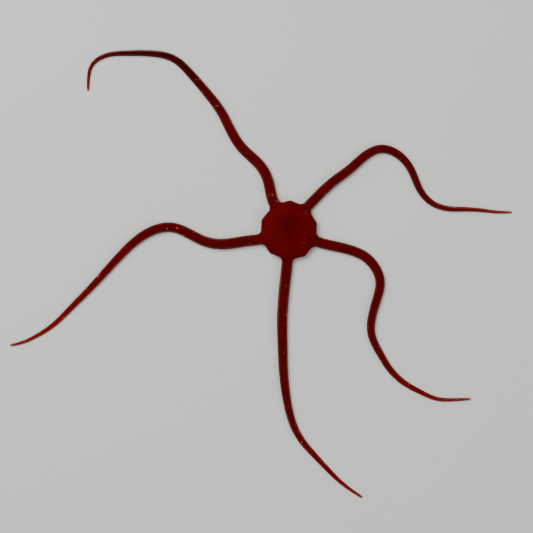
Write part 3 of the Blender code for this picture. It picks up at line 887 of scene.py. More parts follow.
def peg_patch(points):
    """A peg along X, seen from its tip, with its walls spread out round that."""
    away = points[:, 1:]
    length = np.maximum(np.linalg.norm(away, axis=1), 1e-6)[:, None]
    return away / length * 0.5 * (1 - 0.8 * np.clip(points[:, :1], 0, 1))


def cast(name, mould, places, spots):
    """One piece of many copies of a mould: places[copy, corner], and each copy's spot on the bake map."""
    copies, corners = places.shape[:2]
    loops = mould.corners[None] + np.arange(copies)[:, None] * corners
    starts = mould.starts[None] + np.arange(copies)[:, None] * len(mould.corners)
    mesh = bpy.data.meshes.new(name)
    mesh.vertices.add(copies * corners)
    mesh.vertices.foreach_set("co", to_frame(places).ravel())
    mesh.loops.add(loops.size)
    mesh.loops.foreach_set("vertex_index", loops.astype(np.int32).ravel())
    mesh.polygons.add(starts.size)
    mesh.polygons.foreach_set("loop_start", starts.astype(np.int32).ravel())
    layer = mesh.uv_layers.new(name="OFBake", do_init=False)
    unwrapped = spots[:, None] + mould.patch[mould.corners][None] * PATCH
    layer.uv.foreach_set("vector", unwrapped.astype(np.float32).ravel())
    mesh.update(calc_edges=True)
    mesh.validate()
    obj = bpy.data.objects.new(name, mesh)
    bpy.context.scene.collection.objects.link(obj)
    return obj


def joined(name, parts):
    """Joins several objects into the first, under one name."""
    deselect_all()
    for part in parts:
        part.select_set(True)
    bpy.context.view_layer.objects.active = parts[0]
    bpy.ops.object.join()
    parts[0].name = name
    return parts[0]


def rolled_skin(name, columns, rows, shape, unwrap):
    """A grid rolled up by shape(round, along), its seam and its gathered ends meeting, for close_skin to
    merge.
    """
    obj = added("grid", x_subdivisions=columns, y_subdivisions=rows, size=1.0)
    obj.name = obj.data.name = name
    mesh = obj.data
    flat = numbers(mesh.vertices, "co", 3)[:, :2] + 0.5
    points = to_frame(shape(flat[:, 0], flat[:, 1]))
    mesh.vertices.foreach_set("co", points.ravel())
    corners = numbers(mesh.loops, "vertex_index", 1, np.int32)
    totals = numbers(mesh.polygons, "loop_total", 1, np.int32)
    owner = np.repeat(np.arange(len(totals)), totals)
    middles = np.stack([np.bincount(owner, flat[corners, axis]) / totals for axis in (0, 1)], axis=1)
    mesh.uv_layers[0].name = "OFBake"
    mapped = unwrap(flat[corners], middles[owner])
    mesh.uv_layers[0].uv.foreach_set("vector", mapped.astype(np.float32).ravel())
    return obj, flat


def close_skin(obj):
    """Merges the seam and the gathered ends of a rolled skin, and turns its faces outwards."""
    pick(obj)
    bpy.ops.object.mode_set(mode="EDIT")
    bpy.ops.mesh.select_all(action="SELECT")
    bpy.ops.mesh.remove_doubles(threshold=2e-6)
    turn_outwards()
    bpy.ops.object.mode_set(mode="OBJECT")


def scale_mould():
    """A low domed scale of seven sides, 1 long and 1 wide, closed below."""
    obj = added("cylinder", vertices=7, radius=0.5, depth=1.0)
    bpy.ops.object.mode_set(mode="EDIT")
    select_where(obj, "faces", lambda middle: middle.z > 0.4)
    bpy.ops.mesh.inset(thickness=0.12, depth=0.0)
    bpy.ops.mesh.inset(thickness=0.16, depth=0.0)
    for far, drop in ((0.44, -0.5), (0.28, -0.18)):
        select_where(obj, "verts", lambda place: place.z > 0.0 and place.xy.length > far)
        bpy.ops.transform.translate(value=(0, 0, drop))
    bpy.ops.object.mode_set(mode="OBJECT")
    return Mould(obj, flat_patch)


def plate_mould():
    """A side plate: a pillow that rises towards its outer edge, with walls and a floor."""
    obj = added("grid", x_subdivisions=4, y_subdivisions=5, size=1.0)
    for vert in obj.data.vertices:
        x, y = vert.co.x, vert.co.y
        swell = 0.35 + 0.65 * (x + 0.5) ** 0.8
        edge = max(abs(y) * 2, (x * 2) if x > 0 else 0) ** 6
        vert.co.z = swell * (1 - 0.45 * edge)
        vert.co.y = y * (0.86 + 0.14 * math.sin((x + 0.5) * math.pi))
    bpy.ops.object.mode_set(mode="EDIT")
    bpy.ops.mesh.select_all(action="SELECT")
    bpy.ops.mesh.region_to_loop()
    bpy.ops.mesh.extrude_region_move(TRANSFORM_OT_translate={"value": (0, 0, -1.0)})
    bpy.ops.transform.resize(value=(1, 1, 0), center_override=(0, 0, -0.8))
    bpy.ops.mesh.edge_face_add()
    turn_outwards()
    bpy.ops.object.mode_set(mode="OBJECT")
    return Mould(obj, flat_patch)


def belly_mould():
    """A belly plate: square with cut corners, rounded over, closed below."""
    obj = added("cylinder", vertices=8, radius=0.56, depth=1.0, rotation=(0, 0, math.radians(22.5)))
    bpy.ops.object.transform_apply(location=False, rotation=True, scale=False)
    for vert in obj.data.vertices:
        corner = 1.0 if abs(vert.co.y) > 0.4 else 0.92
        vert.co.x *= corner
    bpy.ops.object.mode_set(mode="EDIT")
    select_where(obj, "faces", lambda middle: middle.z > 0.4)
    bpy.ops.mesh.inset(thickness=0.1, depth=0.0)
    select_where(obj, "verts", lambda place: place.z > 0.4 and place.xy.length > 0.5)
    bpy.ops.transform.translate(value=(0, 0, -0.4))
    bpy.ops.object.mode_set(mode="OBJECT")
    return Mould(obj, flat_patch)


def spine_mould(sides=5, rings=((0.72, 0.86), (1.0, 0.45))):
    """A blunt spine along X, from 0 to 1 and 1 wide at its root. Rings are places on it and widths there."""
    turn = (0, math.radians(90), 0)
    obj = added("circle", vertices=sides, radius=0.5, fill_type="NGON", rotation=turn)
    bpy.ops.object.transform_apply(location=False, rotation=True, scale=False)
    bpy.ops.object.mode_set(mode="EDIT")
    bpy.ops.mesh.select_all(action="SELECT")
    reach, width = 0.0, 1.0
    for far, wide in rings:
        bpy.ops.mesh.extrude_region_move(TRANSFORM_OT_translate={"value": (far - reach, 0, 0)})
        bpy.ops.transform.resize(value=(1, wide / width, wide / width), center_override=(0, 0, 0))
        reach, width = far, wide
    turn_outwards()
    bpy.ops.object.mode_set(mode="OBJECT")
    return Mould(obj, peg_patch)


def granule_mould():
    """A small ball, 1 wide."""
    return Mould(added("ico_sphere", subdivisions=1, radius=0.5), flat_patch)


def laid(mould, course, station, girth, length, width, height, tilt=0.0, turn=0.0, sink=0.0):
    """Places for copies of a low mould on an arm: one row of corners for each station and girth."""
    x, y, z = (mould.points[:, axis][None] for axis in range(3))
    station, girth, length, width, height, tilt, turn, sink = (
        np.asarray(value, float)[..., None] * np.ones((len(station), 1))
        for value in np.broadcast_arrays(station, girth, length, width, height, tilt, turn, sink)
    )
    along = (x * np.cos(turn) - y * np.sin(turn)) * length
    across = (x * np.sin(turn) + y * np.cos(turn)) * width
    lift = z * height + tilt * along - sink
    return course.place(station + along, girth + across / course.half_girth(station), lift)


# Materials


def node(tree, kind, links=None, **settings):
    """Adds a node. Its inputs are set from links: a value, or another node's output."""
    made = tree.nodes.new(kind)
    for name, value in settings.items():
        setattr(made, name, value)
    for name, value in (links or {}).items():
        if isinstance(value, bpy.types.NodeSocket):
            tree.links.new(value, made.inputs[name])
        else:
            made.inputs[name].default_value = value
    return made


def mix(tree, factor, first, second, blend="MIX"):
    links = {0: factor, 6: first, 7: second}
    made = node(tree, "ShaderNodeMix", links, data_type="RGBA", blend_type=blend, clamp_factor=True)
    return made.outputs[2]


def maths(tree, operation, *values):
    return node(tree, "ShaderNodeMath", dict(enumerate(values)), operation=operation).outputs[0]


def vector_maths(tree, operation, *values):
    return node(tree, "ShaderNodeVectorMath", dict(enumerate(values)), operation=operation).outputs


def attribute(tree, name):
    return node(tree, "ShaderNodeAttribute", attribute_name=name).outputs["Fac"]


def ranged(tree, value, low, high, to_low=0.0, to_high=1.0):
    """A value brought from one range to another, smoothly and held at its ends."""
    links = {"Value": value, "From Min": low, "From Max": high, "To Min": to_low, "To Max": to_high}
    return node(tree, "ShaderNodeMapRange", links, interpolation_type="SMOOTHSTEP").outputs["Result"]


def noise(tree, scale, detail=2.0, roughness=0.5):
    where = node(tree, "ShaderNodeTexCoord").outputs["Object"]
    links = {"Vector": where, "Scale": scale, "Detail": detail, "Roughness": roughness}
    return node(tree, "ShaderNodeTexNoise", links).outputs["Fac"]


def group(name, inputs, output, build):
    """A node group: build(tree, given) returns what it gives out. Inputs with no default are colours."""
    made = bpy.data.node_groups.get(name)
    if made:
        return made
    made = bpy.data.node_groups.new(name, "ShaderNodeTree")
    kinds = {True: "NodeSocketColor", False: "NodeSocketFloat"}
    for label, default in inputs.items():
        socket = made.interface.new_socket(name=label, in_out="INPUT", socket_type=kinds[default is None])
        if default is not None:
            socket.default_value = default
    made.interface.new_socket(name=output, in_out="OUTPUT", socket_type=kinds[output == "Colour"])
    result = build(made, made.nodes.new("NodeGroupInput").outputs)
    made.links.new(result, made.nodes.new("NodeGroupOutput").inputs[output])
    return made


def mottled(tree, given):
    """Uneven red: wide soft patches and fine specks on one colour."""
    wide = noise(tree, PATCH_SCALE, FINE_DETAIL)
    patches = maths(tree, "MULTIPLY", ranged(tree, wide, *PATCH_EDGES), given["Patches"])
    fine = noise(tree, SPECK_SCALE, roughness=0.6)
    specks = maths(tree, "MULTIPLY", ranged(tree, fine, *SPECK_EDGES), given["Specks"])
    colour = mix(tree, patches, given["Colour"], given["Dark"])
    colour = mix(tree, specks, colour, given["Dark"])
    bright = mix(tree, 1.0, colour, BRIGHT_SPOTS, "MULTIPLY")
    spots = ranged(tree, noise(tree, BRIGHT_SCALE), *BRIGHT_EDGES)
    lift = maths(tree, "MULTIPLY", spots, BRIGHT_SPOT_STRENGTH)
    return mix(tree, lift, colour, bright)


def arm_tinted(tree, given):
    """What changes along an arm and from one small shape to the next, such as orange tips, pale marks, the
    painted highlight on one row of beads and the painted shade of the darker stretches.
    """
    along = attribute(tree, "along")
    below = maths(tree, "MULTIPLY", attribute(tree, "below"), PALER_BELOW)
    colour = mix(tree, below, given["Colour"], given["Under"])
    bright = mix(tree, 1.0, colour, BRIGHT_TIPS, "MULTIPLY")
    colour = mix(tree, ranged(tree, along, BRIGHTENING, BRIGHTENED), colour, bright)
    orange = maths(tree, "MULTIPLY", ranged(tree, along, ORANGE, 1.0), TIP_STRENGTH)
    colour = mix(tree, orange, colour, given["Tip"])
    # Painted shade: the darker stretch along each arm, where less light fell, darkens its red.
    lit = maths(tree, "SUBTRACT", 1.0, attribute(tree, "dark"))
    shade = maths(tree, "MULTIPLY", maths(tree, "ADD", attribute(tree, "fleck"), FLECK_FLOOR), lit)
    grey = node(tree, "ShaderNodeCombineColor", {"Red": shade, "Green": shade, "Blue": shade}).outputs[0]
    colour = mix(tree, 1.0, colour, grey, "MULTIPLY")
    end = maths(tree, "MULTIPLY", ranged(tree, along, PALE_POINT[0], 1.0), PALE_POINT[1])
    # The pale marks also carry the painted highlight on one row of beads.
    pale = maths(tree, "MULTIPLY", attribute(tree, "pale"), PALE_STRENGTH)
    return mix(tree, maths(tree, "MAXIMUM", pale, end), colour, given["Pale"])


def grained(tree, given):
    """The fine grain of the skin, as a height."""
    where = node(tree, "ShaderNodeTexCoord").outputs["Object"]
    cells = node(tree, "ShaderNodeTexVoronoi", {"Vector": where, "Scale": given["Scale"]}).outputs["Distance"]
    raised = maths(tree, "MULTIPLY", maths(tree, "SUBTRACT", 1.0, cells), GRAIN_CELLS)
    return maths(tree, "ADD", raised, noise(tree, GRAIN_NOISE_SCALE, FINE_DETAIL))


def disc_middle_patch(tree):
    """How much of the disc's sunken middle, which is darker, shows at a place."""
    where = node(tree, "ShaderNodeTexCoord").outputs["Object"]
    centre = to_frame(np.array([*DARK_PATCH_PLACE, 0.0]))
    moved = vector_maths(tree, "SUBTRACT", where, (*centre[:2], 0.0))[0]
    squeezed = vector_maths(tree, "MULTIPLY", moved, DARK_PATCH_SQUEEZE)[0]
    away = vector_maths(tree, "LENGTH", squeezed)["Value"]
    wander = maths(tree, "MULTIPLY_ADD", noise(tree, WANDER_SCALE, FINE_DETAIL), WANDER, -WANDER / 2)
    return ranged(tree, maths(tree, "ADD", away, wander), *DARK_PATCH_EDGES, DARK_PATCH_DEPTH, 0.0)


def red_material(name):
    """The red finish that every outer piece wears, with its own colours, marks and grain."""
    material = bpy.data.materials.get(name)
    if material:
        return material
    finish = {**USUAL_FINISH, **FINISHES[name]}
    tints = {setting: (*getattr(colours(), setting), 1.0) for setting in StarColours.__annotations__}
    material = bpy.data.materials.new(name)
    material.use_nodes = True
    tree = material.node_tree
    shader = tree.nodes["Principled BSDF"]
    shader.inputs["Specular IOR Level"].default_value = SHINE
    shader.inputs["Specular Tint"].default_value = tints["gloss"]
    given = {"Colour": None, "Dark": None, "Patches": 0.5, "Specks": 0.3}
    links = {"Colour": tints[finish["colour"]], "Dark": tints[finish["dark"]]}
    links.update(Patches=finish["patches"], Specks=finish["specks"])
    mottle = group("Mottled red", given, "Colour", mottled)
    found = node(tree, "ShaderNodeGroup", links, node_tree=mottle).outputs[0]
    if name in DARK_IN_THE_MIDDLE:
        found = mix(tree, disc_middle_patch(tree), found, tints["disc_dark"])
    links = {"Colour": found, "Tip": tints["tip"], "Pale": tints[finish["pale"]], "Under": tints["under"]}
    change = group("Arm tint", dict.fromkeys(links), "Colour", arm_tinted)
    found = node(tree, "ShaderNodeGroup", links, node_tree=change).outputs[0]
    if finish["pale_ends"]:
        fleck = maths(tree, "MULTIPLY", attribute(tree, "fleck"), finish["pale_ends"])
        much = maths(tree, "MULTIPLY", ranged(tree, attribute(tree, "end"), PALE_END_START, 1.0), fleck)
        found = mix(tree, much, found, tints["pale"])
    tree.links.new(found, shader.inputs["Base Color"])
    rough = ranged(tree, noise(tree, SHEEN_SCALE), *SOFT_EDGES, *finish["roughness"])
    tree.links.new(rough, shader.inputs["Roughness"])
    grain = group("Skin grain", {"Scale": GRAIN_SCALE}, "Height", grained)
    height = node(tree, "ShaderNodeGroup", node_tree=grain).outputs[0]
    links = {"Height": height, "Strength": finish["bump"], "Distance": GRAIN_HEIGHT}
    tree.links.new(node(tree, "ShaderNodeBump", links).outputs["Normal"], shader.inputs["Normal"])
    return material


def floor_material():
    material = bpy.data.materials.new("Pale floor")
    material.use_nodes = True
    tree = material.node_tree
    shader = tree.nodes["Principled BSDF"]
    pale = colours().floor
    patches = ranged(tree, noise(tree, FLOOR_SCALE), *SOFT_EDGES, 0.0, 0.25)
    soft = mix(tree, patches, (*pale, 1.0), (*(0.97 * part for part in pale), 1.0))
    tree.links.new(soft, shader.inputs["Base Color"])
    shader.inputs["Roughness"].default_value = FLOOR_ROUGHNESS
    shader.inputs["Specular IOR Level"].default_value = SHINE
    return material


# The arms


def arm_nodes(index):
    return [f"arm_{index + 1}_{label}" for label in LENGTHS]


def build_arm_skin(index):
    """The flesh of one arm, in one skin from the mouth to the tip."""
    course = ARMS[index]
    joints = ROOT_JOINTS + sizes().joints
    rows = joints * SKIN_RINGS_PER_JOINT + TIP_RINGS + 1

    def station_of(v):
        ring = np.round(v * rows)
        inner = np.clip(ring - 1, 0, joints * SKIN_RINGS_PER_JOINT) / SKIN_RINGS_PER_JOINT - ROOT_JOINTS
        past = np.clip(ring - 1 - joints * SKIN_RINGS_PER_JOINT, 0, TIP_RINGS) / TIP_RINGS
        return course.joint(inner) + past * (course.length - course.joint(sizes().joints)), past, ring, inner

    def shape(u, v):
        station, past, ring, number = station_of(v)
        shrink = np.sqrt(np.clip(1 - past**2, 0.0, 1.0))
        shrink = np.where(ring < 0.5, 0.0, shrink)
        step = (np.round(number * SKIN_RINGS_PER_JOINT) % SKIN_RINGS_PER_JOINT).astype(int)
        lift = np.where(past > 0, 0.0, np.array(SKIN_LIFTS)[step] * course.width(station) / ARM_WIDTH)
        return course.place(station, u * 2 - 1, lift, shrink)

    def unwrap(flat, middle):
        station, inside = (station_of(each[:, 1])[0] for each in (flat, middle))
        return course.unwrap(station, flat[:, 0] * 2 - 1, inside)

    skin, flat = rolled_skin(f"arm_{index + 1}_skin", SKIN_COLUMNS, rows, shape, unwrap)
    below = ramp(np.abs(flat[:, 0] * 2 - 1), *SKIN_PALING)
    mark_each(skin, 1, **course.tints(station_of(flat[:, 1])[0]), fleck=0.5, below=below)
    close_skin(skin)
    return complete(skin, "Arm flesh", "arm_plate", *arm_nodes(index))


def build_back_scales(index, mould):
    """The small overlapping scales of one arm's back."""
    course = ARMS[index]
    wanted = sizes()
    dice = np.random.default_rng(100 + index)
    found = []
    rows = wanted.scale_rows
    for row in range(-2 * rows, wanted.joints * rows):
        start, middle, end = (float(course.joint((row + along) / rows)) for along in (0.0, SCALE_PLACE, 1.0))
        length = end - start
        share = float(course.width(middle)) / ARM_WIDTH
        across = max(3, round(wanted.scales_across * share**SCALES_TAPER))
        spread = BACK_EDGE * 2 / across
        for number in range(across + row % 2):
            girth = (number + 0.5 - (row % 2) * 0.5) * spread - BACK_EDGE
            found.append((middle, girth, length, spread, share, (row + 1) % rows))
    station, girth, length, spread, share, first = np.array(found).T
    many = len(station)
    width = spread * course.half_girth(station)
    station = station + length * dice.normal(0, SCALE_STRAY[0], many)
    girth = girth + spread * dice.normal(0, SCALE_STRAY[1], many)
    size = dice.uniform(*SCALE_SIZES, many)
    places = laid(
        mould, course, station, girth, length * SCALE_LENGTH * size, width * SCALE_WIDTH * size,
        wanted.scale_height * 2 * np.clip(share, SMALLEST_SCALE, 1) * dice.uniform(*SCALE_HEIGHTS, many),
        tilt=dice.uniform(*SCALE_TILTS, many), turn=dice.normal(0, SCALE_TURN, many), sink=SCALE_SINK * share,
    )
    scales = cast(f"arm_{index + 1}_back_scales", mould, places, course.unwrap(station, girth))
    fleck = np.clip(dice.normal(np.interp(first, (0, 1), ROW_FLECKS), FLECK_SPREAD), 0, 1)
    faint = np.where(dice.random(many) < FAINT_MARKS, dice.uniform(*FAINT_STRENGTHS, many), 0.0)
    pale = np.maximum(course.paleness(station, girth), faint)
    mark_each(scales, mould.count, **course.tints(station), fleck=fleck, below=0.0, pale=pale)
    return complete(scales, "Back scales", "arm_plate")


def build_side_plates(index, side_mould, middle_mould, small_mould):
    """The big plates of one arm's sides and belly, and the small scales that cover its tube feet."""
    course = ARMS[index]
    dice = np.random.default_rng(200 + index)
    joints = course.joint(np.arange(-ROOT_JOINTS, sizes().joints + 1, dtype=float))
    length = np.diff(joints)
    middle = (joints[:-1] + joints[1:]) / 2
    share = course.width(middle) / ARM_WIDTH
    half = course.half_girth(middle)
    parts = []

    def part(mould, spot, broad, below, ahead, long, thick, sink, **pose):
        girth = np.full_like(middle, spot)
        station = middle + ahead * length
        pose["sink"] = sink * share
        places = laid(mould, course, station, girth, length * long, broad, thick * share, **pose)
        made = cast("plates", mould, places, course.unwrap(middle, np.minimum(girth, 0.99)))
        mark_each(made, mould.count, **course.tints(middle), fleck=dice.uniform(*PLATE_FLECKS, len(middle)))
        mark(made, "below", np.tile(below * np.ones(mould.count), len(middle)))
        parts.append(made)

    reach = SIDE_EDGE - BACK_EDGE + SIDE_OVERLAP
    around = (BACK_EDGE + SIDE_EDGE) / 2 + side_mould.points[:, 1] * reach
    side_below = np.interp(around, PLATE_PALING, PLATES_PALER)
    for side in (-1, 1):
        spot = side * (BACK_EDGE + SIDE_EDGE) / 2
        part(side_mould, spot, reach * half * side, side_below, **SIDE_PLATE)
        for offset, broad, ahead, long in FOOT_SCALES:
            spot = side * (SIDE_EDGE + offset)
            turn = side * FOOT_SCALE_TURN
            part(small_mould, spot, broad * length, FOOT_SCALES_PALER, ahead, long, turn=turn, **FOOT_SCALE)
    part(middle_mould, 1.0, (1 - SIDE_EDGE) * 2 * half * BELLY_PLATE_WIDTH, 1.0, **BELLY_PLATE)
    return complete(joined(f"arm_{index + 1}_side_plates", parts), "Side plates", "arm_plate")


def build_spines(index, peg_mould, bead_mould):
    """The short flat spines along both sides of one arm: a fan on every joint, with a bead at its top."""
    course = ARMS[index]
    wanted = sizes()
    dice = np.random.default_rng(300 + index)
    found = []
    for number in range(-1, wanted.joints):
        start, end = float(course.joint(number)), float(course.joint(number + 1))
        share = float(course.width(start)) / ARM_WIDTH
        count = max(4, round(wanted.spines_a_side * share**0.5))
        for place in range(count):
            down = place / (count - 1)
            for side in (-1, 1):
                girth = side * (BACK_EDGE + FAN_INSET + (SPINE_EDGE - BACK_EDGE - 2 * FAN_INSET) * down)
                if place == 0:
                    girth = side * course.girth_at(1 - BEAD_INSET / (course.width(start) / 2))
                found.append((start + FAN_PLACE * (end - start), girth, end - start, share, down, count))
    station, girth, joint, share, down, count = np.array(found).T
    many = len(station)
    first = down == 0
    girth = girth + dice.normal(0, SPINE_STRAY, many)
    long = joint * wanted.spine_length * (UPPER_SPINE + (1 - UPPER_SPINE) * down)
    long = long * dice.uniform(*SPINE_LENGTHS, many)
    long = long * np.clip(0.5 + share, 0, 1) * np.where(first, BEAD_LENGTH, 1.0)
    spacing = (SPINE_EDGE - BACK_EDGE) * course.half_girth(station) / count
    # Painted highlight: on one side of each arm, over a stretch, the beads facing the light are painted pale.
    side, begin, finish, strength = PAINTED_BEAD_HIGHLIGHTS[index]
    row = ramp(np.minimum(station - begin, finish - station), 0, BEADS_FADE) * (girth * side > 0)
    bead = np.where(first, FAINT_BEADS + strength * row, 0.0) * dice.uniform(*BEAD_STRENGTHS, many)
    broad = BEAD_WIDTH * (BEAD_TAPER + (1 - BEAD_TAPER) * share)
    broad = broad * (FAINT_BEAD_WIDTH + (1 - FAINT_BEAD_WIDTH) * row)
    thick = np.where(first, broad, spacing * SPINE_OVERLAP) * dice.uniform(*SPINE_WIDTHS, many)
    forward, normal = course.frame_at(station, girth)
    flare = (wanted.spine_flare * dice.normal(1.0, FLARE_SPREAD, many))[:, None]
    axis = forward * np.cos(flare) + normal * np.sin(flare)
    across = unit(np.cross(axis, normal))
    out = np.cross(across, axis)
    root = course.place(station, girth, SPINE_LIFT * share) - axis * SPINE_ROOT * long[:, None]
    flatness = np.where(first, BEAD_FLATNESS, SPINE_FLATNESS)
    edges = (
        axis * (long * (1 + SPINE_ROOT))[:, None], across * thick[:, None], out * (thick * flatness)[:, None],
    )
    marks = {
        **course.tints(station), "fleck": dice.uniform(*SPINE_FLECKS, many),
        "below": SPINES_PALER * ramp(np.abs(girth), *SPINE_PALING),
        "pale": np.maximum(course.paleness(station, girth), bead),
    }
    parts = []
    for mould, chosen in ((peg_mould, ~first), (bead_mould, first)):
        places = root[chosen, None] + sum(
            edge[chosen, None] * mould.points[None, :, number, None] for number, edge in enumerate(edges)
        )
        places[..., 2] = np.maximum(places[..., 2], 0.0)
        part = cast("spines", mould, places, course.unwrap(station[chosen], girth[chosen]))
        mark_each(part, mould.count, **{name: values[chosen] for name, values in marks.items()})
        mark(part, "end", mould.points[:, 0] * np.interp(down[chosen], (0, 1), PALE_TIPS)[:, None])
        parts.append(part)
    return complete(joined(f"arm_{index + 1}_spines", parts), "Spines", "arm_spine")


# The disc and the mouth


def build_disc_skin():
    """The skin of the disc, over its top, round its rim and under it to the mouth."""
    above = np.linspace(0.0, PROFILE.rim, DISC_RINGS_ABOVE + 1)
    lower = PROFILE.place > PROFILE.rim
    mouth_edge = float(np.interp(-MOUTH_RADIUS / DISC_RADIUS, -PROFILE.share[lower], PROFILE.place[lower]))
    below = np.linspace(PROFILE.rim, mouth_edge, DISC_RINGS_BELOW + 1)[1:]
    places = np.concatenate([above, below])
    walls = len(MOUTH_RINGS) - 1
    rows = len(places) + walls - 1

    def shape(u, v):
        ring = np.round(v * rows).astype(int)
        turn = u * 360 + arm_turn(0)
        outer = np.clip(ring, 0, len(places) - 1)
        points = disc_point(places[outer], turn)
        step = ring - (len(places) - 1)
        lean = math.radians(180 / ARM_COUNT)
        from_corner = np.radians((turn - arm_turn(0)) % (360 / ARM_COUNT)) - lean
        pentagon = MOUTH_RADIUS * math.cos(lean) / np.cos(from_corner)
        in_mouth, in_throat, added, height = np.array(MOUTH_RINGS)[np.clip(step, 0, walls)].T
        radius = in_mouth * pentagon + in_throat * THROAT_RADIUS + added
        mouth = np.concatenate([heading(turn) * radius[:, None], height[:, None]], axis=1)
        return np.where((step >= 0)[:, None], mouth, points)

    def unwrap(flat, middle):
        ring = flat[:, 1] * rows
        upper = middle[:, 1] * rows < DISC_RINGS_ABOVE
        place = np.interp(ring, np.arange(len(places)), places)
        place = place + np.clip(ring - (len(places) - 1), 0, walls) / walls * (1 - places[-1])
        return disc_unwrap(place, flat[:, 0] * 360, upper)

    skin, flat = rolled_skin("disc_skin", DISC_COLUMNS, rows, shape, unwrap)
    ring = flat[:, 1] * rows
    mark_each(skin, 1, along=0.0, fleck=0.5, below=ramp(ring - DISC_RINGS_ABOVE, *DISC_PALING))
    close_skin(skin)
    return complete(skin, "Disc skin", "disc_skin", "disc")


def build_granules(name, first, last, mould, seed):
    """The granules that cover the disc between two places of its profile, set in even whirls."""
    wanted = sizes()
    dice = np.random.default_rng(seed)
    low, high = (float(np.interp(place, PROFILE.place, PROFILE.area)) for place in (first, last))
    count = int((high - low) / wanted.granule_spacing**2)
    place = np.interp(low + (np.arange(count) + 0.5) / count * (high - low), PROFILE.area, PROFILE.place)
    turn = (np.arange(count) * GOLDEN_TURN) % 360
    place = np.clip(place + dice.normal(0, GRANULE_SHIFT, count) / PROFILE.length, first, last)
    radius = np.maximum(PROFILE.at(place)[0] * DISC_RADIUS, 0.5)
    turn = turn + np.degrees(dice.normal(0, GRANULE_SHIFT, count) / radius)
    spot = disc_point(place, turn)
    x, y = spot[:, 0], spot[:, 1]
    upper = first == 0.0
    keep = np.ones(count, bool)
    if not upper:
        reach = np.hypot(x, y)
        beside = np.abs(reach * np.sin(np.radians(from_nearest(turn, arm_turn(0)))))
        from_between = np.radians(from_nearest(turn, between_turn(0)))
        away = np.hypot(reach * np.cos(from_between) - MOUTH_SHIELD_CENTRE, reach * np.sin(from_between))
        keep = (beside > BARE_ARM_BED) & (away > BARE_ROUND_SHIELDS) & (reach > MOUTH_RADIUS * 0.93)
        keep &= slot_distance(x, y) > BARE_ROUND_SLOTS
    place, turn, spot = place[keep], turn[keep], spot[keep]
    many = len(place)
    normal = disc_normal(place, turn)
    size = wanted.granule_width * dice.uniform(*GRANULE_SIZES, many)
    points = mould.points[None] * size[:, None, None]
    along = (points * normal[:, None]).sum(axis=2, keepdims=True) * normal[:, None]
    sink = (normal * size[:, None] * GRANULE_SINK)[:, None]
    places = spot[:, None] + points - GRANULE_FLATNESS * along - sink
    made = cast(name, mould, places, disc_unwrap(place, turn, upper))
    pale = np.zeros(many)
    for across, ahead, strength in DISC_MARKS if upper else ():
        mark_nearest(pale, np.hypot(spot[:, 0] - across, spot[:, 1] - ahead), strength, DISC_MARK_SPREAD)
    mark_each(made, mould.count, along=0.0, fleck=dice.uniform(0, 1, many), below=float(not upper), pale=pale)
    return complete(made, "Disc granules", "disc_skin")


def jaw_outline(inset):
    """Half a jaw from below, tip to the mouth's wall, as distances along its own line and out from it."""
    lean = math.radians(-ARM_STEP / 2)
    crossing = (SLIT_WIDTH / 2 + inset) / math.sin(lean)
    back = MOUTH_RADIUS * math.cos(lean) + JAW_OVERLAP - inset
    tip = JAW_TIP + inset / math.sin(lean)
    return [(x, (x - crossing) * math.tan(lean)) for x in (tip, back)]


def jaw_hollow(across):
    """How the lower face of a jaw is hollowed along its middle."""
    return JAW_HOLLOW * bell(across, JAW_HOLLOW_WIDTH)


def turned(points, turn):
    """Points turned about the disc's middle, so that +X runs that way."""
    ahead = heading(turn)
    out = points.copy()
    out[..., 0] = points[..., 0] * ahead[0] - points[..., 1] * ahead[1]
    out[..., 1] = points[..., 0] * ahead[1] + points[..., 1] * ahead[0]
    return out


def jaw_mould():
    """One jaw, pointing at the mouth's middle from +X, with its lower edges rounded."""
    obj = added("cube", size=2.0)
    (tip_x, tip_y), (back_x, back_y) = jaw_outline(0.0)
    for vert in obj.data.vertices:
        near = vert.co.x < 0
        side = math.copysign(1, vert.co.y)
        vert.co.z = JAW_FLOOR if vert.co.z < 0 else MOUTH_DEPTH + 0.2
        vert.co.x = tip_x if near else back_x
        vert.co.y = side * (tip_y if near else back_y)
    bpy.ops.object.mode_set(mode="EDIT")
    select_where(obj, "edges", lambda middle: middle.z < JAW_FLOOR + 0.01)
    bpy.ops.mesh.bevel(offset=JAW_BEVEL, segments=3, profile=0.6)
    bpy.ops.mesh.select_all(action="SELECT")
    bpy.ops.mesh.subdivide(number_cuts=2)
    turn_outwards()
    bpy.ops.object.mode_set(mode="OBJECT")
    for vert in obj.data.vertices:
        vert.co.z += jaw_hollow(vert.co.y) * max(0.0, 1 - (vert.co.z - JAW_FLOOR) / 0.6)
    return Mould(obj, flat_patch)


def build_jaws():
    """The five jaws."""
    mould = jaw_mould()
    turns = between_turn(np.arange(ARM_COUNT))
    places = np.stack([turned(mould.points, turn) for turn in turns])
    jaws = cast("jaws", mould, places, disc_unwrap(0.93, turns))
    mark_each(jaws, mould.count, along=0.0, fleck=0.5, below=0.0)
    return complete(jaws, "Jaws", "jaw_plate", *[f"jaw_{index + 1}" for index in range(ARM_COUNT)])


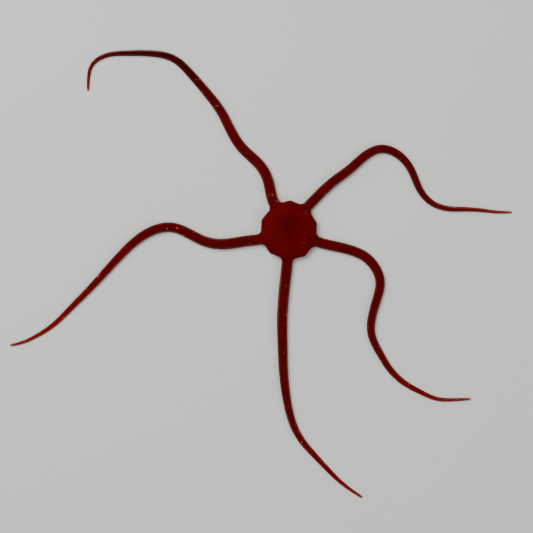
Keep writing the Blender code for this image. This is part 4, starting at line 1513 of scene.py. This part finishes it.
def build_jaw_granules(mould):
    """The granules that cover the jaws' lower faces."""
    dice = np.random.default_rng(503)
    (tip_x, tip_y), (back_x, back_y) = jaw_outline(JAW_BEVEL * 0.6)
    columns = np.arange(tip_x, back_x, JAW_GRANULE * math.sqrt(0.75))
    found = []
    for number, x in enumerate(columns):
        half = tip_y + (back_y - tip_y) * (x - tip_x) / (back_x - tip_x)
        for y in np.arange(JAW_GRANULE * (number % 2) / 2, half, JAW_GRANULE):
            found += [(x, y)] if y == 0 else [(x, y), (x, -y)]
    flat = np.array(found)
    spots = []
    for index in range(ARM_COUNT):
        moved = flat + dice.normal(0, 0.03, flat.shape)
        points = np.column_stack([moved, JAW_FLOOR + 0.02 + jaw_hollow(moved[:, 1])])
        spots.append(turned(points, between_turn(index)))
    spots = np.concatenate(spots)
    many = len(spots)
    size = JAW_GRANULE * dice.uniform(0.85, 1.2, many)
    places = spots[:, None] + mould.points[None] * size[:, None, None] * (1.0, 1.0, 0.6)
    reach = np.hypot(spots[:, 0], spots[:, 1]) / DISC_RADIUS
    turns = np.degrees(np.arctan2(spots[:, 1], spots[:, 0]))
    made = cast("jaw_granules", mould, places, disc_unwrap(1 - reach * (1 - PROFILE.rim), turns))
    mark_each(made, mould.count, along=0.0, fleck=dice.uniform(0.1, 0.9, many), below=0.0)
    return complete(made, "Jaw granules", "jaw_plate")


def build_papillae(mould):
    """The blunt papillae along both sides of every jaw, and the teeth in a column at its tip."""
    dice = np.random.default_rng(400)
    lean = math.radians(-ARM_STEP / 2)
    (tip_x, tip_y), (back_x, back_y) = jaw_outline(0.0)
    found = []
    for index in range(ARM_COUNT):
        for side in (-1, 1):
            facing = np.array([-math.sin(lean), side * math.cos(lean), 0.0])
            for number in range(PAPILLAE_A_SIDE):
                share = (number + 0.35) / (PAPILLAE_A_SIDE - 0.1)
                ahead, aside = tip_x + (back_x - tip_x) * share, side * (tip_y + (back_y - tip_y) * share)
                root = np.array([ahead, aside, JAW_FLOOR + PAPILLA_HEIGHT]) - facing * PAPILLA_ROOT
                long = PAPILLA_LENGTHS[0] + PAPILLA_LENGTHS[1] * math.sin(share * 3)
                found.append((index, root, facing + (0, 0, -PAPILLA_DIP), long, PAPILLA_WIDTH))
        for number in range(TEETH):
            high = JAW_FLOOR + TOOTH_PLACE[1] + TOOTH_STEP * number
            root = np.array([JAW_TIP + TOOTH_PLACE[0], 0.0, high])
            found.append((index, root, np.array([-1.0, 0.0, -TOOTH_DIP]), *TOOTH_SIZE))
    places = []
    for index, root, axis, long, thick in found:
        axis = unit(axis)
        across = unit(np.cross(axis, (0.0, 0.0, 1.0)))
        up = np.cross(across, axis)
        vary = dice.uniform(0.9, 1.1)
        x, y, z = (mould.points[:, number][:, None] for number in range(3))
        points = root + axis * x * long * vary + across * y * thick + up * z * thick * PAPILLA_FLATNESS
        places.append(turned(points, between_turn(index)))
    many = len(found)
    spots = disc_unwrap(dice.uniform(0.9, 0.95, many), dice.uniform(0, 360, many))
    made = cast("mouth_papillae", mould, np.stack(places), spots)
    mark_each(made, mould.count, along=0.0, fleck=dice.uniform(0, 1, many), below=0.0)
    mark(made, "end", np.tile(mould.points[:, 0], many))
    return complete(made, "Papillae", "jaw_plate")


def shield_mould():
    """A mouth shield: a rounded kite, 1 long and 1 wide, pointing at the mouth, crowned below."""
    half = ((-0.16, 0.38), (0.2, 0.5), (0.46, 0.32))
    outline = (-0.5, 0.0), *half, (0.5, 0.0), *((x, -y) for x, y in reversed(half))
    obj = added("circle", vertices=len(outline), radius=0.5, fill_type="NGON")
    for vert, (x, y) in zip(obj.data.vertices, outline):
        vert.co.x, vert.co.y = x, y
    bpy.ops.object.mode_set(mode="EDIT")
    bpy.ops.mesh.select_all(action="SELECT")
    bpy.ops.mesh.extrude_region_move(TRANSFORM_OT_translate={"value": (0, 0, -1.0)})
    turn_outwards()
    select_where(obj, "edges", lambda middle: middle.z < -0.9)
    bpy.ops.mesh.bevel(offset=0.13, segments=3, profile=0.5)
    turn_outwards()
    bpy.ops.object.mode_set(mode="OBJECT")
    return Mould(obj, flat_patch)


def build_mouth_shields():
    """The five kite-shaped shields round the mouth, with a smaller pair beside each."""
    mould = shield_mould()
    places, spots = [], []
    inwards, beside, lean, *size = SHIELD_PAIR
    kinds = (
        (MOUTH_SHIELD_CENTRE, 0.0, 0.0, *MOUTH_SHIELD_SIZE),
        *((MOUTH_SHIELD_CENTRE - inwards, side * beside, side * lean, *size) for side in (1, -1)),
    )
    for index in range(ARM_COUNT):
        for out, aside, turn, long, wide in kinds:
            points = mould.points * (long, wide, MOUTH_SHIELD_HEIGHT)
            points = turned(points, turn) + (out, aside, DISC_FLOOR + MOUTH_SHIELD_SINK)
            places.append(turned(points, between_turn(index)))
            spots.append((0.86, between_turn(index)))
    place, turn = np.array(spots).T
    made = cast("mouth_shields", mould, np.stack(places), disc_unwrap(place, turn))
    mark_each(made, mould.count, along=0.0, fleck=0.5, below=SHIELDS_PALER)
    return complete(made, "Mouth shields", "disc_skin")


# The stage


def build_stage():
    floor = added("plane", size=FLOOR_SIZE, location=(0, 0, -FLOOR_DROP))
    floor.name = "floor"
    floor.data.materials.append(floor_material())
    scene = bpy.context.scene
    for name, place, width, power, light in LIGHTS:
        data = bpy.data.lights.new(name, "AREA")
        data.shape, data.size, data.energy, data.color = "DISK", width, power, light
        lamp = bpy.data.objects.new(name, data)
        lamp.location = place
        lamp.rotation_mode = "QUATERNION"
        lamp.rotation_quaternion = (-Vector(place)).to_track_quat("-Z", "Y")
        scene.collection.objects.link(lamp)
    scene.world = bpy.data.worlds.new("Soft room")
    scene.world.use_nodes = True
    background = scene.world.node_tree.nodes["Background"].inputs
    background["Color"].default_value = ROOM_LIGHT
    background["Strength"].default_value = ROOM_STRENGTH
    data = bpy.data.cameras.new("Camera")
    data.sensor_width = SENSOR
    data.lens = SENSOR * CAMERA_HEIGHT / PICTURE_WIDTH
    data.clip_start = NEAREST_SEEN
    camera = bpy.data.objects.new("Camera", data)
    camera.location = (*PICTURE_MIDDLE, CAMERA_HEIGHT)
    scene.collection.objects.link(camera)
    scene.camera = camera


# Operators and panel


class STAR_OT_arm_skins(Operator):
    """Sweeps the five arms' skins, each in one piece from the mouth to the tip"""

    bl_idname = "star.arm_skins"
    bl_label = "Arm skins"

    def execute(self, context):
        for index in range(ARM_COUNT):
            build_arm_skin(index)
        return {"FINISHED"}


class STAR_OT_back_scales(Operator):
    """Lays the small overlapping scales on the arms' backs"""

    bl_idname = "star.back_scales"
    bl_label = "Back scales"

    def execute(self, context):
        mould = scale_mould()
        for index in range(ARM_COUNT):
            build_back_scales(index, mould)
        return {"FINISHED"}


class STAR_OT_side_plates(Operator):
    """Lays the plates of the arms' sides and bellies"""

    bl_idname = "star.side_plates"
    bl_label = "Side and belly plates"

    def execute(self, context):
        moulds = plate_mould(), belly_mould(), scale_mould()
        for index in range(ARM_COUNT):
            build_side_plates(index, *moulds)
        return {"FINISHED"}


class STAR_OT_spines(Operator):
    """Sets the fans of short spines along both sides of the arms"""

    bl_idname = "star.spines"
    bl_label = "Spines"

    def execute(self, context):
        moulds = spine_mould(), spine_mould(sides=8, rings=((0.4, 1.0), (0.82, 0.8), (1.0, 0.42)))
        for index in range(ARM_COUNT):
            build_spines(index, *moulds)
        return {"FINISHED"}


class STAR_OT_disc(Operator):
    """Forms the lobed skin of the disc"""

    bl_idname = "star.disc"
    bl_label = "Disc skin"

    def execute(self, context):
        build_disc_skin()
        return {"FINISHED"}


class STAR_OT_granules(Operator):
    """Covers the disc with granules"""

    bl_idname = "star.granules"
    bl_label = "Disc granules"

    def execute(self, context):
        mould = granule_mould()
        build_granules("disc_granules_top", 0.0, PROFILE.rim, mould, 501)
        build_granules("disc_granules_under", PROFILE.rim, 0.9, mould, 502)
        return {"FINISHED"}


class STAR_OT_mouth(Operator):
    """Builds the jaws, papillae, teeth and shields of the mouth"""

    bl_idname = "star.mouth"
    bl_label = "Mouth"

    def execute(self, context):
        build_jaws()
        build_jaw_granules(granule_mould())
        build_papillae(spine_mould(sides=8, rings=((0.7, 0.86), (1.0, 0.6))))
        build_mouth_shields()
        return {"FINISHED"}


class STAR_OT_stage(Operator):
    """Sets the pale floor, the soft lights and the camera straight above"""

    bl_idname = "star.stage"
    bl_label = "Stage"

    def execute(self, context):
        build_stage()
        return {"FINISHED"}


OPERATORS = (
    STAR_OT_arm_skins,
    STAR_OT_back_scales,
    STAR_OT_side_plates,
    STAR_OT_spines,
    STAR_OT_disc,
    STAR_OT_granules,
    STAR_OT_mouth,
    STAR_OT_stage,
)


class STAR_PT_panel(Panel):
    """Builds each part of the brittle star, and holds its sizes and colours"""

    bl_idname = "STAR_PT_panel"
    bl_label = "Brittle star"
    bl_space_type = "VIEW_3D"
    bl_region_type = "UI"
    bl_category = "Brittle star"

    def draw(self, context):
        for operator in OPERATORS:
            self.layout.operator(operator.bl_idname)
        settings = context.scene.brittle_star
        for each in (settings.sizes, settings.colours):
            box = self.layout.box()
            for name in each.__annotations__:
                box.prop(each, name)


CLASSES = (StarSizes, StarColours, StarSettings, *OPERATORS, STAR_PT_panel)


def register():
    for each in CLASSES:
        bpy.utils.register_class(each)
    bpy.types.Scene.brittle_star = PointerProperty(type=StarSettings)


def unregister():
    del bpy.types.Scene.brittle_star
    for each in reversed(CLASSES):
        bpy.utils.unregister_class(each)


def main():
    register()
    for operator in OPERATORS:
        family, name = operator.bl_idname.split(".")
        getattr(getattr(bpy.ops, family), name)()
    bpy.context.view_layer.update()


if __name__ == "__main__":
    main()
